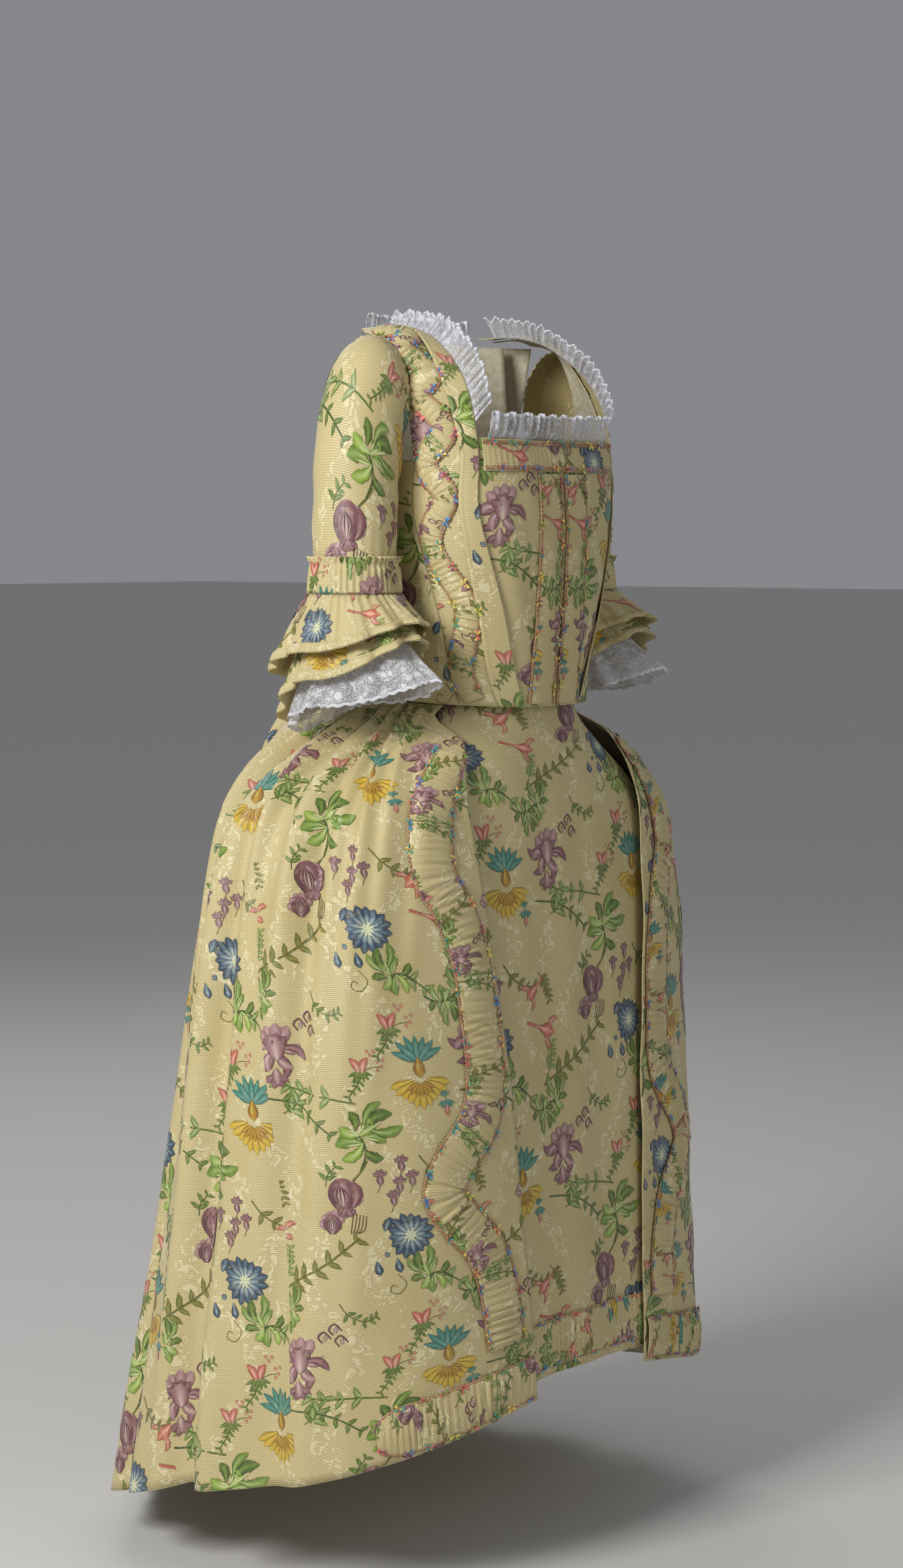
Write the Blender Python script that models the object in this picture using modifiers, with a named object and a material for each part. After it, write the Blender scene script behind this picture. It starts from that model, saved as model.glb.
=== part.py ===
# Robe a la francaise: an open robe with a sack back over a petticoat, worn pose, hollow.
# Metres, +Z up. The wearer faces -Y, and the wearer's right side is -X.
# The origin lies between the shoulders, at the height of the shoulder seams.
from collections import namedtuple
from math import atan2, cos, degrees, pi, radians, sin, tanh

import bmesh
import bpy
import numpy as np

# Driving sizes
SILK = 0.0016           # wall of the silk and its lining
LACE = 0.0011           # wall of the lace
LIFT = 0.0009           # gap under a trim that lies on a panel
STEP_UP = 0.0014        # gap under the inner robing, which steps over the edges beside it
SEAM = 0.0004           # half the gap at the sack back's side seams
SIDE_SEAM = 0.25        # gap between the side piece and the outer robing, in degrees
RIGHT, LEFT = -1, 1     # sides of the wearer

# Colours as linear RGB, with roughness
STRAW = (0.56, 0.46, 0.19, 0.45)
STRAW_TRIM = (0.60, 0.48, 0.22, 0.50)
LINEN = (0.62, 0.56, 0.42, 0.80)
LACE_WHITE = (0.75, 0.75, 0.78, 0.70)

# Rings of the robe's outer face, from the neck to the hem.
# Each ring is a superellipse about (0, mid_y), and its height changes from front to side to back.
# square is the front half's exponent, edge_x is the robe's front edge from the waist down,
# and seam is the angle of the sack back's side seam.
Ring = namedtuple("Ring", "front_z side_z back_z half_width front_y mid_y back_y square edge_x seam")
ROBE = (
    Ring(-0.050, -0.004, 0.000, 0.164, -0.105, -0.029, 0.078, 3.2, 0.000, 108),
    Ring(-0.085, -0.070, -0.070, 0.161, -0.122, -0.022, 0.100, 3.4, 0.000, 110),
    Ring(-0.140, -0.140, -0.140, 0.147, -0.139, -0.015, 0.122, 3.5, 0.000, 113),
    Ring(-0.200, -0.200, -0.200, 0.143, -0.145, -0.010, 0.142, 3.5, 0.000, 117),
    Ring(-0.300, -0.300, -0.300, 0.132, -0.142, 0.000, 0.172, 3.1, 0.000, 121),
    Ring(-0.412, -0.404, -0.398, 0.123, -0.132, 0.020, 0.200, 2.7, 0.112, 125),
    Ring(-0.452, -0.449, -0.440, 0.190, -0.137, 0.025, 0.209, 2.8, 0.132, 126),
    Ring(-0.492, -0.490, -0.480, 0.250, -0.143, 0.028, 0.215, 2.9, 0.147, 127),
    Ring(-0.550, -0.545, -0.540, 0.295, -0.151, 0.032, 0.217, 3.0, 0.151, 128),
    Ring(-0.660, -0.660, -0.660, 0.320, -0.162, 0.045, 0.229, 3.0, 0.139, 129),
    Ring(-0.800, -0.810, -0.820, 0.333, -0.171, 0.057, 0.254, 3.0, 0.122, 130),
    Ring(-0.950, -0.975, -1.000, 0.344, -0.180, 0.072, 0.287, 3.0, 0.111, 130),
    Ring(-1.068, -1.125, -1.190, 0.353, -0.187, 0.090, 0.328, 3.0, 0.104, 130),
    Ring(-1.163, -1.262, -1.368, 0.360, -0.192, 0.100, 0.374, 3.0, 0.099, 130),
)
NECK, ARMHOLE, BUST, RIBS, WAIST, HEM = 0, 2, 3, 4, 5, 13
NECKLINE = 1.62         # ring place of the front neckline
BACK_SQUARE = 2.2
SKIRT_ROWS = (13, 12.5, 12, 11, 10, 9, 8.3, 7.6, 7, 6.4, 5.8, 5.4, 5.02)

# Rings of the petticoat's outer face, which the robe covers but for the front
PETTICOAT = (
    Ring(-0.4015, -0.4010, -0.4010, 0.104, -0.118, -0.015, 0.056, 2.7, 0, 0),
    Ring(-0.428, -0.428, -0.428, 0.118, -0.1225, -0.012, 0.075, 2.7, 0, 0),
    Ring(-0.458, -0.462, -0.462, 0.160, -0.1285, -0.004, 0.115, 2.8, 0, 0),
    Ring(-0.500, -0.508, -0.508, 0.228, -0.135, 0.008, 0.160, 2.9, 0, 0),
    Ring(-0.565, -0.570, -0.570, 0.272, -0.144, 0.022, 0.185, 3.0, 0, 0),
    Ring(-0.690, -0.695, -0.700, 0.297, -0.156, 0.040, 0.208, 3.0, 0, 0),
    Ring(-0.850, -0.860, -0.870, 0.314, -0.166, 0.055, 0.240, 3.0, 0, 0),
    Ring(-1.010, -1.030, -1.040, 0.326, -0.176, 0.072, 0.275, 3.0, 0, 0),
    Ring(-1.152, -1.190, -1.200, 0.338, -0.183, 0.085, 0.310, 3.0, 0, 0),
)

# Soft folds of the robe's side skirts: angles at hip and hem, half widths in degrees,
# and how far each stands out at the hip, half way down and at the hem (below 0: a trough)
Fold = namedtuple("Fold", "hip_angle hem_angle hip_width hem_width hip mid hem")
SIDE_FOLDS = (
    Fold(67, 62, 3.5, 6.0, 0.010, 0.005, 0.006),
    Fold(74, 73, 3.5, 5.5, -0.017, -0.008, -0.006),
    Fold(81, 83, 3.0, 6.0, 0.012, 0.006, 0.007),
    Fold(88, 92, 3.0, 5.0, -0.018, -0.009, -0.009),
    Fold(96, 101, 3.5, 6.5, 0.014, 0.008, 0.010),
    Fold(104, 109, 3.0, 4.5, -0.020, -0.010, -0.010),
    Fold(113, 118, 4.0, 5.0, 0.013, 0.009, 0.010),
)

# Box pleats of the sack back: edges at the neck and at the hem in degrees from the side,
# and how far the pleat stands out at the neck, the waist and the hem
Pleat = namedtuple("Pleat", "neck_from neck_to hem_from hem_to neck waist hem")
BOX_PLEATS = (
    Pleat(148, 160, 141, 150, 0.006, 0.014, 0.012),
    Pleat(163, 176, 158, 170, 0.008, 0.017, 0.014),
    Pleat(184, 197, 190, 202, 0.008, 0.017, 0.014),
    Pleat(200, 212, 210, 219, 0.006, 0.014, 0.012),
)
PLEAT_SIDE = 1.6        # degrees over which a pleat's side rises

# Lines of the front at the rings from the armhole to the waist: distances of the front's side
# edge and of the robings' joint from the centre, and the angle of the outer robing's edge
FrontLine = namedtuple("FrontLine", "inner_x joint_x outer")
FRONT_LINES = (
    FrontLine(0.1185, 0.1300, 76.0),
    FrontLine(0.1185, 0.1295, 75.0),
    FrontLine(0.0890, 0.1080, 61.5),
    FrontLine(0.0500, 0.0750, 45.5),
)

# The shoulder strap above the armhole's foot: inner edge, joint and outer edge of the robings
Strap = namedtuple("Strap", "inner joint outer")
STRAP = (
    Strap((0.118, -0.108, -0.085), (0.130, -0.091, -0.082), (0.1500, -0.046, -0.088)),
    Strap((0.113, -0.086, -0.045), (0.127, -0.068, -0.040), (0.1530, -0.034, -0.045)),
    Strap((0.104, -0.045, -0.010), (0.120, -0.035, -0.004), (0.1540, -0.018, -0.013)),
    Strap((0.096, -0.006, 0.003), (0.113, -0.002, 0.006), (0.1540, 0.000, -0.003)),
    Strap((0.100, 0.059, 0.005), (0.1165, 0.050, 0.0045), (0.1485, 0.0185, 0.0010)),
)
STRAP_BULGE = 0.004     # rise of the strap between its joint and outer edge
JOINT = 0.22            # where the robings meet, from 0 at the inner edge to 1 at the outer

# Rings of a sleeve, from the armhole to the elbow: its outer and inner points in the XZ plane
SleeveRing = namedtuple("SleeveRing", "outer_x outer_z inner_x inner_z mid_y half_depth")
SLEEVE = (
    SleeveRing(0.1548, -0.0065, 0.1490, -0.1375, -0.009, 0.043),
    SleeveRing(0.1780, -0.005, 0.1530, -0.146, -0.010, 0.047),
    SleeveRing(0.2030, -0.024, 0.1500, -0.156, -0.010, 0.049),
    SleeveRing(0.2225, -0.060, 0.1480, -0.168, -0.009, 0.0495),
    SleeveRing(0.2335, -0.108, 0.1475, -0.186, -0.008, 0.0485),
    SleeveRing(0.2380, -0.170, 0.1475, -0.214, -0.008, 0.0475),
    SleeveRing(0.2410, -0.230, 0.1475, -0.242, -0.008, 0.0470),
    SleeveRing(0.2420, -0.2855, 0.1475, -0.2855, -0.008, 0.04725),
)

# Tiers under the elbow: top height and radius, heights of the hem, the hem's oval and gathers.
# Each tier starts round about the elbow's middle and opens into an oval, whose front and back
# reach are measured from that middle.
Tier = namedtuple(
    "Tier",
    "top_z top_r hem_front hem_side hem_back mid_x half_width front_reach back_reach waves depth ease")
ELBOW_X, ELBOW_Y = 0.19475, -0.008      # middle of the sleeve's end
TIERS = {
    "sleeve_heading": Tier(-0.2525, 0.0476, -0.2852, -0.2852, -0.2852, 0.19475, 0.0504, 0.0504, 0.0504,
                           0, 0.0, 1.0),
    "flounce_upper": Tier(-0.2857, 0.0528, -0.316, -0.348, -0.378, 0.2060, 0.0670, 0.100, 0.096,
                          14, 0.0045, 1.0),
    "flounce_lower": Tier(-0.2860, 0.0473, -0.334, -0.378, -0.431, 0.2050, 0.0600, 0.100, 0.086,
                          14, 0.0045, 1.3),
    "lace_cuff": Tier(-0.2990, 0.0451, -0.376, -0.406, -0.438, 0.2040, 0.0510, 0.128, 0.074,
                      14, 0.0040, 1.5),
}

# The winding trim on the robe's front: ring place and distance of its middle from the centre
Winding = namedtuple("Winding", "at x")
FURBELOW = (
    Winding(6.15, 0.150), Winding(6.50, 0.161), Winding(7.05, 0.182), Winding(7.70, 0.202),
    Winding(8.35, 0.208), Winding(8.75, 0.186), Winding(9.15, 0.170), Winding(9.52, 0.163),
    Winding(10.0, 0.158), Winding(10.33, 0.170), Winding(10.57, 0.202), Winding(10.77, 0.216),
    Winding(10.97, 0.201), Winding(11.27, 0.168), Winding(11.70, 0.151), Winding(12.22, 0.145),
)
FURBELOW_HALF = 0.022   # half its width
WAIST_SHARE = 0.65      # the share of that width at its narrower start near the waist
FURBELOW_WAVES = 20
HIP_LIFT = (0.0055, 0.0025, 0)   # how much more the trim stands off where the hip bends most
BODICE_TRIM_HALF = 0.10     # half width of the bodice trim, as a share of the robing's width
BODICE_TRIM_SWING = 0.17    # how far it winds, as the same share
BODICE_TRIM_PERIOD = 1.30   # length of one winding, in stations of the front

# Ruched strips at the hem
HEM_STRIP = 0.068       # height
HEM_STRIP_END = 52      # angle where the robe's strip ends
HEM_STRIP_WAVES = 9

# Front pieces and lace
BAND_TOP, BAND_FOOT = -0.1165, -0.1530
STRIP_FROM, STRIP_TO = 0.003, 0.041     # the upright strips beside the closing, at the bust
STRIP_SPREAD = 0.002                    # how much wider they are at the waist
NECK_LACE_RISE = 0.030
NECK_LACE_WAVE = 0.0045


def smooth(table, at):
    """Read a table of rows at a fractional row, along a Catmull-Rom curve."""
    last = len(table) - 1
    at = min(max(at, 0.0), float(last))
    i = min(int(at), last - 1)
    f = at - i
    rows = [np.asarray(table[min(max(i + k, 0), last)], float) for k in (-1, 0, 1, 2)]
    a, b, c, d = rows
    slope_b = (c - a) / (2 if i > 0 else 1)
    slope_c = (d - b) / (2 if i < last - 1 else 1)
    return (b * (1 + 2 * f) * (1 - f) ** 2 + slope_b * f * (1 - f) ** 2
            + c * f * f * (3 - 2 * f) + slope_c * f * f * (f - 1))


def ring_point(table, angle, at, out=0.0):
    """Point of a ring table at an angle from the centre front, with +X at 90 degrees."""
    ring = Ring(*smooth(table, at))
    t = radians(angle)
    side, ahead = abs(sin(t)), cos(t)
    if ahead > 0:
        reach, power = ring.mid_y - ring.front_y, ring.square
        z = ring.side_z + (ring.front_z - ring.side_z) * ahead ** 1.5
    else:
        reach, power = ring.back_y - ring.mid_y, BACK_SQUARE
        z = ring.side_z + (ring.back_z - ring.side_z) * abs(ahead) ** 0.9
    radius = ((abs(ahead) / reach) ** power + (side / ring.half_width) ** power) ** (-1 / power) + out
    return np.array([radius * sin(t), ring.mid_y - radius * ahead, z])


def bump(distance, half_width):
    return np.exp(-(distance / half_width) ** 2)


def fold_height(angle, at):
    """How far the side skirt's folds stand out at an angle and a ring."""
    fall = (at - WAIST) / (HEM - WAIST)
    hip_share = max(0.0, 1 - 2 * fall)
    hem_share = max(0.0, 2 * fall - 1)
    mid_share = 1 - hip_share - hem_share
    start = min(1.0, (at - WAIST) / 1.2)
    height = 0.0
    for fold in SIDE_FOLDS:
        centre = fold.hip_angle + (fold.hem_angle - fold.hip_angle) * fall
        width = fold.hip_width + (fold.hem_width - fold.hip_width) * fall
        rise = fold.hip * hip_share + fold.mid * mid_share + fold.hem * hem_share
        height += rise * bump(angle - centre, width)
    return height * start


def pleat_height(angle, at):
    """How far the sack back's box pleats stand out at an angle and a ring."""
    fall = at / HEM
    height = 0.0
    for pleat in BOX_PLEATS:
        start = pleat.neck_from + (pleat.hem_from - pleat.neck_from) * fall
        end = pleat.neck_to + (pleat.hem_to - pleat.neck_to) * fall
        if at < WAIST:
            rise = pleat.neck + (pleat.waist - pleat.neck) * at / WAIST
        else:
            rise = pleat.waist + (pleat.hem - pleat.waist) * (at - WAIST) / (HEM - WAIST)
        height += rise * 0.5 * (tanh((angle - start) / PLEAT_SIDE) - tanh((angle - end) / PLEAT_SIDE))
    return height


def robe_point(angle, at, out=0.0):
    """Outer face of the robe; folds fade out at the sack back's seams, pleats begin inside them."""
    bend = angle if angle <= 180 else 360 - angle
    seam = Ring(*smooth(ROBE, at)).seam
    fade = min(1.0, abs(bend - seam) / 6.0)
    if bend > seam:
        out += pleat_height(angle, at) * fade
    elif at > WAIST:
        out += fold_height(bend, at) * fade
    return ring_point(ROBE, angle, at, out)


def edge_angle(at, x):
    """Angle at which the robe's front lies x from the centre, by halving."""
    low, high = 0.0, 85.0
    for _ in range(24):
        middle = (low + high) / 2
        if robe_point(middle, at)[0] < x:
            low = middle
        else:
            high = middle
    return low


# Places of the front's five lines across the robings, from the inner to the outer edge
LINE_PLACES = (0.0, JOINT, 0.48, 0.74, 1.0)
BODICE_STATIONS = WAIST - ARMHOLE


def inner_x(at):
    return smooth(FRONT_LINES, at - ARMHOLE)[0]


def bodice_lines(at):
    """The front's five lines at a ring between the armhole's foot and the waist."""
    line = FrontLine(*smooth(FRONT_LINES, at - ARMHOLE))
    inner, joint = edge_angle(at, line.inner_x), edge_angle(at, line.joint_x)
    third = (line.outer - joint) / 3
    angles = (inner, joint, joint + third, joint + 2 * third, line.outer)
    return np.array([robe_point(angle, at) for angle in angles])


def strap_lines(strap):
    """The same five lines at one row of the strap."""
    inner, joint, outer = (np.array(point) for point in strap)
    across = outer - joint
    rise = np.array([0.35, -0.35, 0.87]) * STRAP_BULGE
    return [inner, joint, joint + across / 3 + rise, joint + across * 2 / 3 + rise, outer]


STATIONS = np.array([bodice_lines(at) for at in (WAIST, RIBS, BUST, ARMHOLE)]
                    + [strap_lines(strap) for strap in STRAP])
LAST_STATION = len(STATIONS) - 1


def front_point(across, station):
    """Point of the front: across is 0 at the robings' inner edge and 1 at the outer one.

    station is 0 at the waist, 3 at the armhole's foot and 8 behind the shoulder.
    """
    if station <= BODICE_STATIONS:
        lines = bodice_lines(WAIST - station)
    else:
        lines = smooth(STATIONS.reshape(LAST_STATION + 1, -1), station).reshape(-1, 3)
    if across <= 0:
        return lines[0] + (lines[0] - lines[1]) * (-across / LINE_PLACES[1])
    for i in range(len(LINE_PLACES) - 1):
        if across <= LINE_PLACES[i + 1]:
            share = (across - LINE_PLACES[i]) / (LINE_PLACES[i + 1] - LINE_PLACES[i])
            return lines[i] * (1 - share) + lines[i + 1] * share
    return lines[-1]


def mirrored(point, side):
    return np.array([point[0] * side, point[1], point[2]])


class Cloth:
    """A grid of points: u runs towards the wearer's left round the front, v runs up."""

    def __init__(self, point, across, up, side=LEFT):
        grid = np.array([[mirrored(point(u, v), side) for u in across] for v in up])
        if side == RIGHT:
            grid = grid[:, ::-1]
        self.grid = grid
        self.across = list(across)
        self.up = list(up)
        self.side = side

    def normals(self):
        along = np.gradient(self.grid, axis=1)
        rise = np.gradient(self.grid, axis=0)
        normal = np.cross(along, rise)
        return normal / np.linalg.norm(normal, axis=2, keepdims=True)

    def moved(self, distance):
        """The same cloth moved out along its normals."""
        copy = Cloth.__new__(Cloth)
        copy.grid = self.grid + self.normals() * distance
        copy.across, copy.up, copy.side = self.across, self.up, self.side
        return copy

    def at(self, u, v, lift=0.0):
        """A point on the cloth's facets, moved out by lift."""
        columns = np.interp(u, self.across, np.arange(len(self.across)))
        order = 1 if self.up[-1] > self.up[0] else -1
        rows = np.interp(v * order, np.array(self.up) * order, np.arange(len(self.up)))
        if self.side == RIGHT:
            columns = len(self.across) - 1 - columns
        i = min(int(rows), len(self.up) - 2)
        j = min(int(columns), len(self.across) - 2)
        fi, fj = rows - i, columns - j
        total = np.zeros(3)
        facing = np.zeros(3)
        normal = self.normals()
        for di, dj, share in ((0, 0, (1 - fi) * (1 - fj)), (0, 1, (1 - fi) * fj),
                              (1, 0, fi * (1 - fj)), (1, 1, fi * fj)):
            total += self.grid[i + di, j + dj] * share
            facing += normal[i + di, j + dj] * share
        return total + facing / np.linalg.norm(facing) * lift


def silk_material(name, colour):
    red, green, blue, roughness = colour
    material = bpy.data.materials.new(name)
    material.use_nodes = True
    shader = material.node_tree.nodes["Principled BSDF"]
    shader.inputs["Base Color"].default_value = (red, green, blue, 1)
    shader.inputs["Roughness"].default_value = roughness
    shader.inputs["Metallic"].default_value = 0.0
    return material


def sew(name, cloth, colour=STRAW, wall=SILK, outward=False, closed=False):
    """Make the named solid: an open grid on the cloth's points, thickened by Solidify."""
    rows, columns = cloth.grid.shape[:2]
    bm = bmesh.new()
    bmesh.ops.create_grid(bm, x_segments=columns - 1, y_segments=rows - 1, size=1)
    for vertex in bm.verts:
        column = round((vertex.co.x + 1) / 2 * (columns - 1))
        row = round((vertex.co.y + 1) / 2 * (rows - 1))
        vertex.co = cloth.grid[row, column]
    if closed:
        bmesh.ops.remove_doubles(bm, verts=bm.verts, dist=0.00001)
    mesh = bpy.data.meshes.new(name)
    bm.to_mesh(mesh)
    bm.free()
    mesh.shade_smooth()
    mesh.set_sharp_from_angle(angle=radians(50))
    solid = bpy.data.objects.new(name, mesh)
    solid.data.materials.append(silk_material(name, colour))
    wall_modifier = solid.modifiers.new("wall", "SOLIDIFY")
    wall_modifier.thickness = wall
    wall_modifier.offset = 1 if outward else -1
    collection.objects.link(solid)
    return solid


def named(piece, side):
    return piece + ("_right" if side == RIGHT else "_left")


def steps(start, end, count):
    return np.linspace(start, end, count + 1)


def petticoat():
    """Closed tube; its front shows between the robe's edges."""
    front = np.array([0, 12, 24, 34, 44, 54, 66, 80])
    angles = np.concatenate([front, steps(96, 264, 11), 360 - front[:0:-1], [360]])
    rows = (8, 7, 6, 5, 4, 3.5, 3, 2, 1, 0)
    sew("petticoat", Cloth(lambda t, at: ring_point(PETTICOAT, t, at), angles, rows), closed=True)


def petticoat_flounce():
    """Ruched strip on the front hem, between the robe's edges."""
    half_angle = degrees(atan2(ROBE[HEM].edge_x - 0.006, base_depth()))
    rows = (7.96, 7.74, 7.53)
    columns = steps(-half_angle, half_angle, HEM_STRIP_WAVES * 3)

    def point(t, at):
        ripple = 0.0016 * (1 + cos(2 * pi * HEM_STRIP_WAVES * t / (2 * half_angle))) / 2
        middle = 1.0 if at == rows[1] else 0.35
        return ring_point(PETTICOAT, t % 360, at, LIFT + ripple * middle)

    sew("petticoat_flounce", Cloth(point, columns, rows), STRAW_TRIM, outward=True)


def base_depth():
    """Depth of the petticoat's hem from its ring's middle to its front."""
    hem = PETTICOAT[-1]
    return hem.mid_y - hem.front_y


def skirt_edges(at):
    """Angles of the side skirt's front edge and of its seam with the sack back."""
    ring = Ring(*smooth(ROBE, at))
    return edge_angle(at, ring.edge_x), ring.seam - degrees(SEAM / ring.half_width)


def robe_skirt(side):
    """Side skirt from the front edge to the sack back's seam."""
    def point(share, at):
        first, last = skirt_edges(at)
        return robe_point(first + (last - first) * share, at)

    cloth = Cloth(point, steps(0, 1, 24), SKIRT_ROWS, side)
    sew(named("robe_skirt", side), cloth)
    return cloth


def sack_back():
    """Back in one length from the neck to the train, with two double box pleats."""
    def point(share, at):
        ring = Ring(*smooth(ROBE, at))
        seam = ring.seam + degrees(SEAM / ring.half_width)
        return robe_point(seam + (360 - 2 * seam) * share, at)

    sew("sack_back", Cloth(point, steps(0, 1, 26), SKIRT_ROWS + (4, 3, 2, 1, 0)))


def bodice_back():
    """Fitted back under the pleats, from side seam to side seam, cut away at the armholes."""
    BackRow = namedtuple("BackRow", "z half_width mid_y back_y start")
    rows = (BackRow(-0.4004, 0.105, -0.015, 0.0565, 105), BackRow(-0.300, 0.118, -0.020, 0.066, 104),
            BackRow(-0.200, 0.130, -0.025, 0.072, 105), BackRow(-0.110, 0.138, -0.030, 0.074, 122),
            BackRow(-0.003, 0.150, -0.029, 0.0768, 128))

    def point(share, row):
        back = BackRow(*smooth(rows, row))
        t = radians(back.start + (360 - 2 * back.start) * share)
        return np.array([back.half_width * sin(t), back.mid_y - (back.back_y - back.mid_y) * cos(t), back.z])

    sew("bodice_back", Cloth(point, steps(0, 1, 12), range(5)), LINEN)


def bodice_side(side):
    """Side piece under the arm, from the outer robing to the sack back."""
    def point(share, at):
        outer = smooth(FRONT_LINES, at - ARMHOLE)[2] + SIDE_SEAM
        seam = skirt_edges(at)[1]
        return robe_point(outer + (seam - outer) * share, at)

    sew(named("bodice_side", side), Cloth(point, steps(0, 1, 6), (5, 4.5, 4, 3.5, 3, 2.5, 2), side))


def robings(side):
    """Outer and inner robings, from the waist over the shoulder to the back."""
    stations = (0, 0.5, 1, 1.5, 2, 2.5, 3, 3.6, 4.3, 5, 5.7, 6.4, 7.2, 8)
    outer = Cloth(front_point, (JOINT - 0.02, 0.48, 0.74, 1.0), stations, side)
    sew(named("robing_outer", side), outer)
    inner = Cloth(front_point, (-0.03, 0.11, JOINT + 0.015), stations, side).moved(SILK + STEP_UP)
    sew(named("robing_inner", side), inner)
    return outer, inner


def robing_trim(side, outer):
    """Winding ruched trim on the outer robing."""
    count = 44

    def point(across, station):
        middle = 0.60 + BODICE_TRIM_SWING * sin(2 * pi * station / BODICE_TRIM_PERIOD)
        puff = 0.0022 * (1 - across ** 2) * (0.6 + 0.4 * cos(pi * station * 6))
        return outer.at(middle + BODICE_TRIM_HALF * across, station, LIFT + 0.0003 + puff)

    cloth = Cloth(point, (-1, 0, 1), steps(0.08, 6.9, count), LEFT)
    if side == RIGHT:
        cloth.grid = cloth.grid[:, ::-1]
    sew(named("furbelow_bodice", side), cloth, STRAW_TRIM, outward=True)


def compere(side):
    """Half of the false waistcoat front; its side edge lies under the inner robing."""
    def point(share, at):
        tuck = np.interp(at, (NECKLINE, BUST), (-0.003, 0.003))
        x = 0.0003 + (inner_x(at) + tuck - 0.0003) * share
        return robe_point(edge_angle(at, x), at)

    rows = (5, 4.5, 4, 3.5, 3, 2.5, 2, NECKLINE)
    sew(named("compere", side), Cloth(point, steps(0, 1, 5), rows, side))


def compere_strip(side):
    """Upright strip beside the centre closing."""
    def point(share, at):
        spread = STRIP_SPREAD * (at - ARMHOLE) / (WAIST - ARMHOLE)
        x = STRIP_FROM + (STRIP_TO + spread - STRIP_FROM) * share
        return robe_point(edge_angle(at, x), at, LIFT + 0.0012 * sin(pi * share))

    cloth = Cloth(point, steps(0, 1, 3), (4.97, 4.5, 4, 3.5, 3, 2.62, 2.27), side)
    sew(named("compere_strip", side), cloth, STRAW_TRIM, outward=True)


def compere_band():
    """Flat band across the top of the front, on both halves."""
    def point(share, at):
        x = abs(share) * (inner_x(at) - 0.006)
        angle = edge_angle(at, x)
        return robe_point(angle if share >= 0 else (360 - angle) % 360, at, LIFT)

    cloth = Cloth(point, steps(-1, 1, 14), (2.22, 1.92, NECKLINE + 0.02))
    sew("compere_band", cloth, STRAW_TRIM, outward=True)


def sleeve(side):
    def point(turn, at):
        ring = SleeveRing(*smooth(SLEEVE, at))
        outer = np.array([ring.outer_x, ring.mid_y, ring.outer_z])
        inner = np.array([ring.inner_x, ring.mid_y, ring.inner_z])
        t = radians(turn)
        depth = np.array([0, -ring.half_depth * cos(t), 0])
        return (outer + inner) / 2 + (outer - inner) / 2 * sin(t) + depth

    cloth = Cloth(point, steps(0, 360, 20), (7, 6, 5, 4, 3, 2, 1, 0), side)
    sew(named("sleeve", side), cloth, closed=True)


def tier_point(tier, turn, share):
    """Point of a tier under the elbow: share is 0 at its top and 1 at its hem."""
    t = radians(turn)
    ahead, out = cos(t), sin(t)
    if ahead > 0:
        hem_z = tier.hem_side + (tier.hem_front - tier.hem_side) * ahead ** 2
        reach = tier.front_reach
    else:
        hem_z = tier.hem_side + (tier.hem_back - tier.hem_side) * ahead ** 2
        reach = tier.back_reach
    flare = share ** tier.ease
    wave = tier.depth * flare * cos(t * tier.waves) * (1 + 0.25 * sin(3 * t + 0.7))
    half_width = tier.top_r + (tier.half_width - tier.top_r) * flare + wave
    half_depth = tier.top_r + (reach - tier.top_r) * flare + wave
    middle = ELBOW_X + (tier.mid_x - ELBOW_X) * flare
    return np.array([middle + half_width * out, ELBOW_Y - half_depth * ahead,
                     tier.top_z + (hem_z - tier.top_z) * share])


def elbow_tiers(side):
    """Gathered heading, two flounces of silk, and the lace inside them."""
    for piece, tier in TIERS.items():
        columns = 20 if tier.waves == 0 else tier.waves * 3
        rows = (1, 0) if tier.waves == 0 else (1, 0.5, 0)
        cloth = Cloth(lambda turn, share: tier_point(tier, turn, share), steps(0, 360, columns), rows, side)
        if piece == "lace_cuff":
            sew(named(piece, side), cloth, LACE_WHITE, LACE, closed=True)
        elif piece == "sleeve_heading":
            sew(named(piece, side), cloth, outward=True, closed=True)
        else:
            sew(named(piece, side), cloth, closed=True)


def skirt_trim(side, skirt):
    """Winding ruched trim down the robe's front, laid on the skirt's facets."""
    last = len(FURBELOW) - 1

    def middle(row):
        spot = Winding(*smooth(FURBELOW, row))
        return spot, Ring(*smooth(ROBE, spot.at)).front_z

    def point(across, row):
        spot, _ = middle(row)
        ahead, ahead_z = middle(min(row + 0.1, last))
        behind, behind_z = middle(max(row - 0.1, 0))
        run_x, run_z = ahead.x - behind.x, ahead_z - behind_z
        length = (run_x ** 2 + run_z ** 2) ** 0.5
        rings_per_metre = (ahead.at - behind.at) / run_z
        aside = FURBELOW_HALF * across * np.interp(row, (0, 2.5), (WAIST_SHARE, 1))
        x = spot.x - run_z / length * aside
        at = spot.at + run_x / length * aside * rings_per_metre
        ruche = 0.55 + 0.45 * cos(2 * pi * row * FURBELOW_WAVES / last)
        lift = LIFT + np.interp(row, (0, 3, 6), HIP_LIFT)
        return on_skirt(skirt, x, at, lift + 0.0024 * (1 - across ** 2) * ruche)

    cloth = Cloth(point, (-1, -0.33, 0.33, 1), steps(last, 0, 40), LEFT)
    if side == RIGHT:
        cloth.grid = cloth.grid[:, ::-1]
    sew(named("furbelow_skirt", side), cloth, STRAW_TRIM, outward=True)


def on_skirt(skirt, x, at, lift):
    """Point on the side skirt's facets at a distance from the centre front and a ring place."""
    first, last = skirt_edges(at)
    share = (edge_angle(at, x) - first) / (last - first)
    return skirt.at(max(share, 0.0), at, lift)


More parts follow.
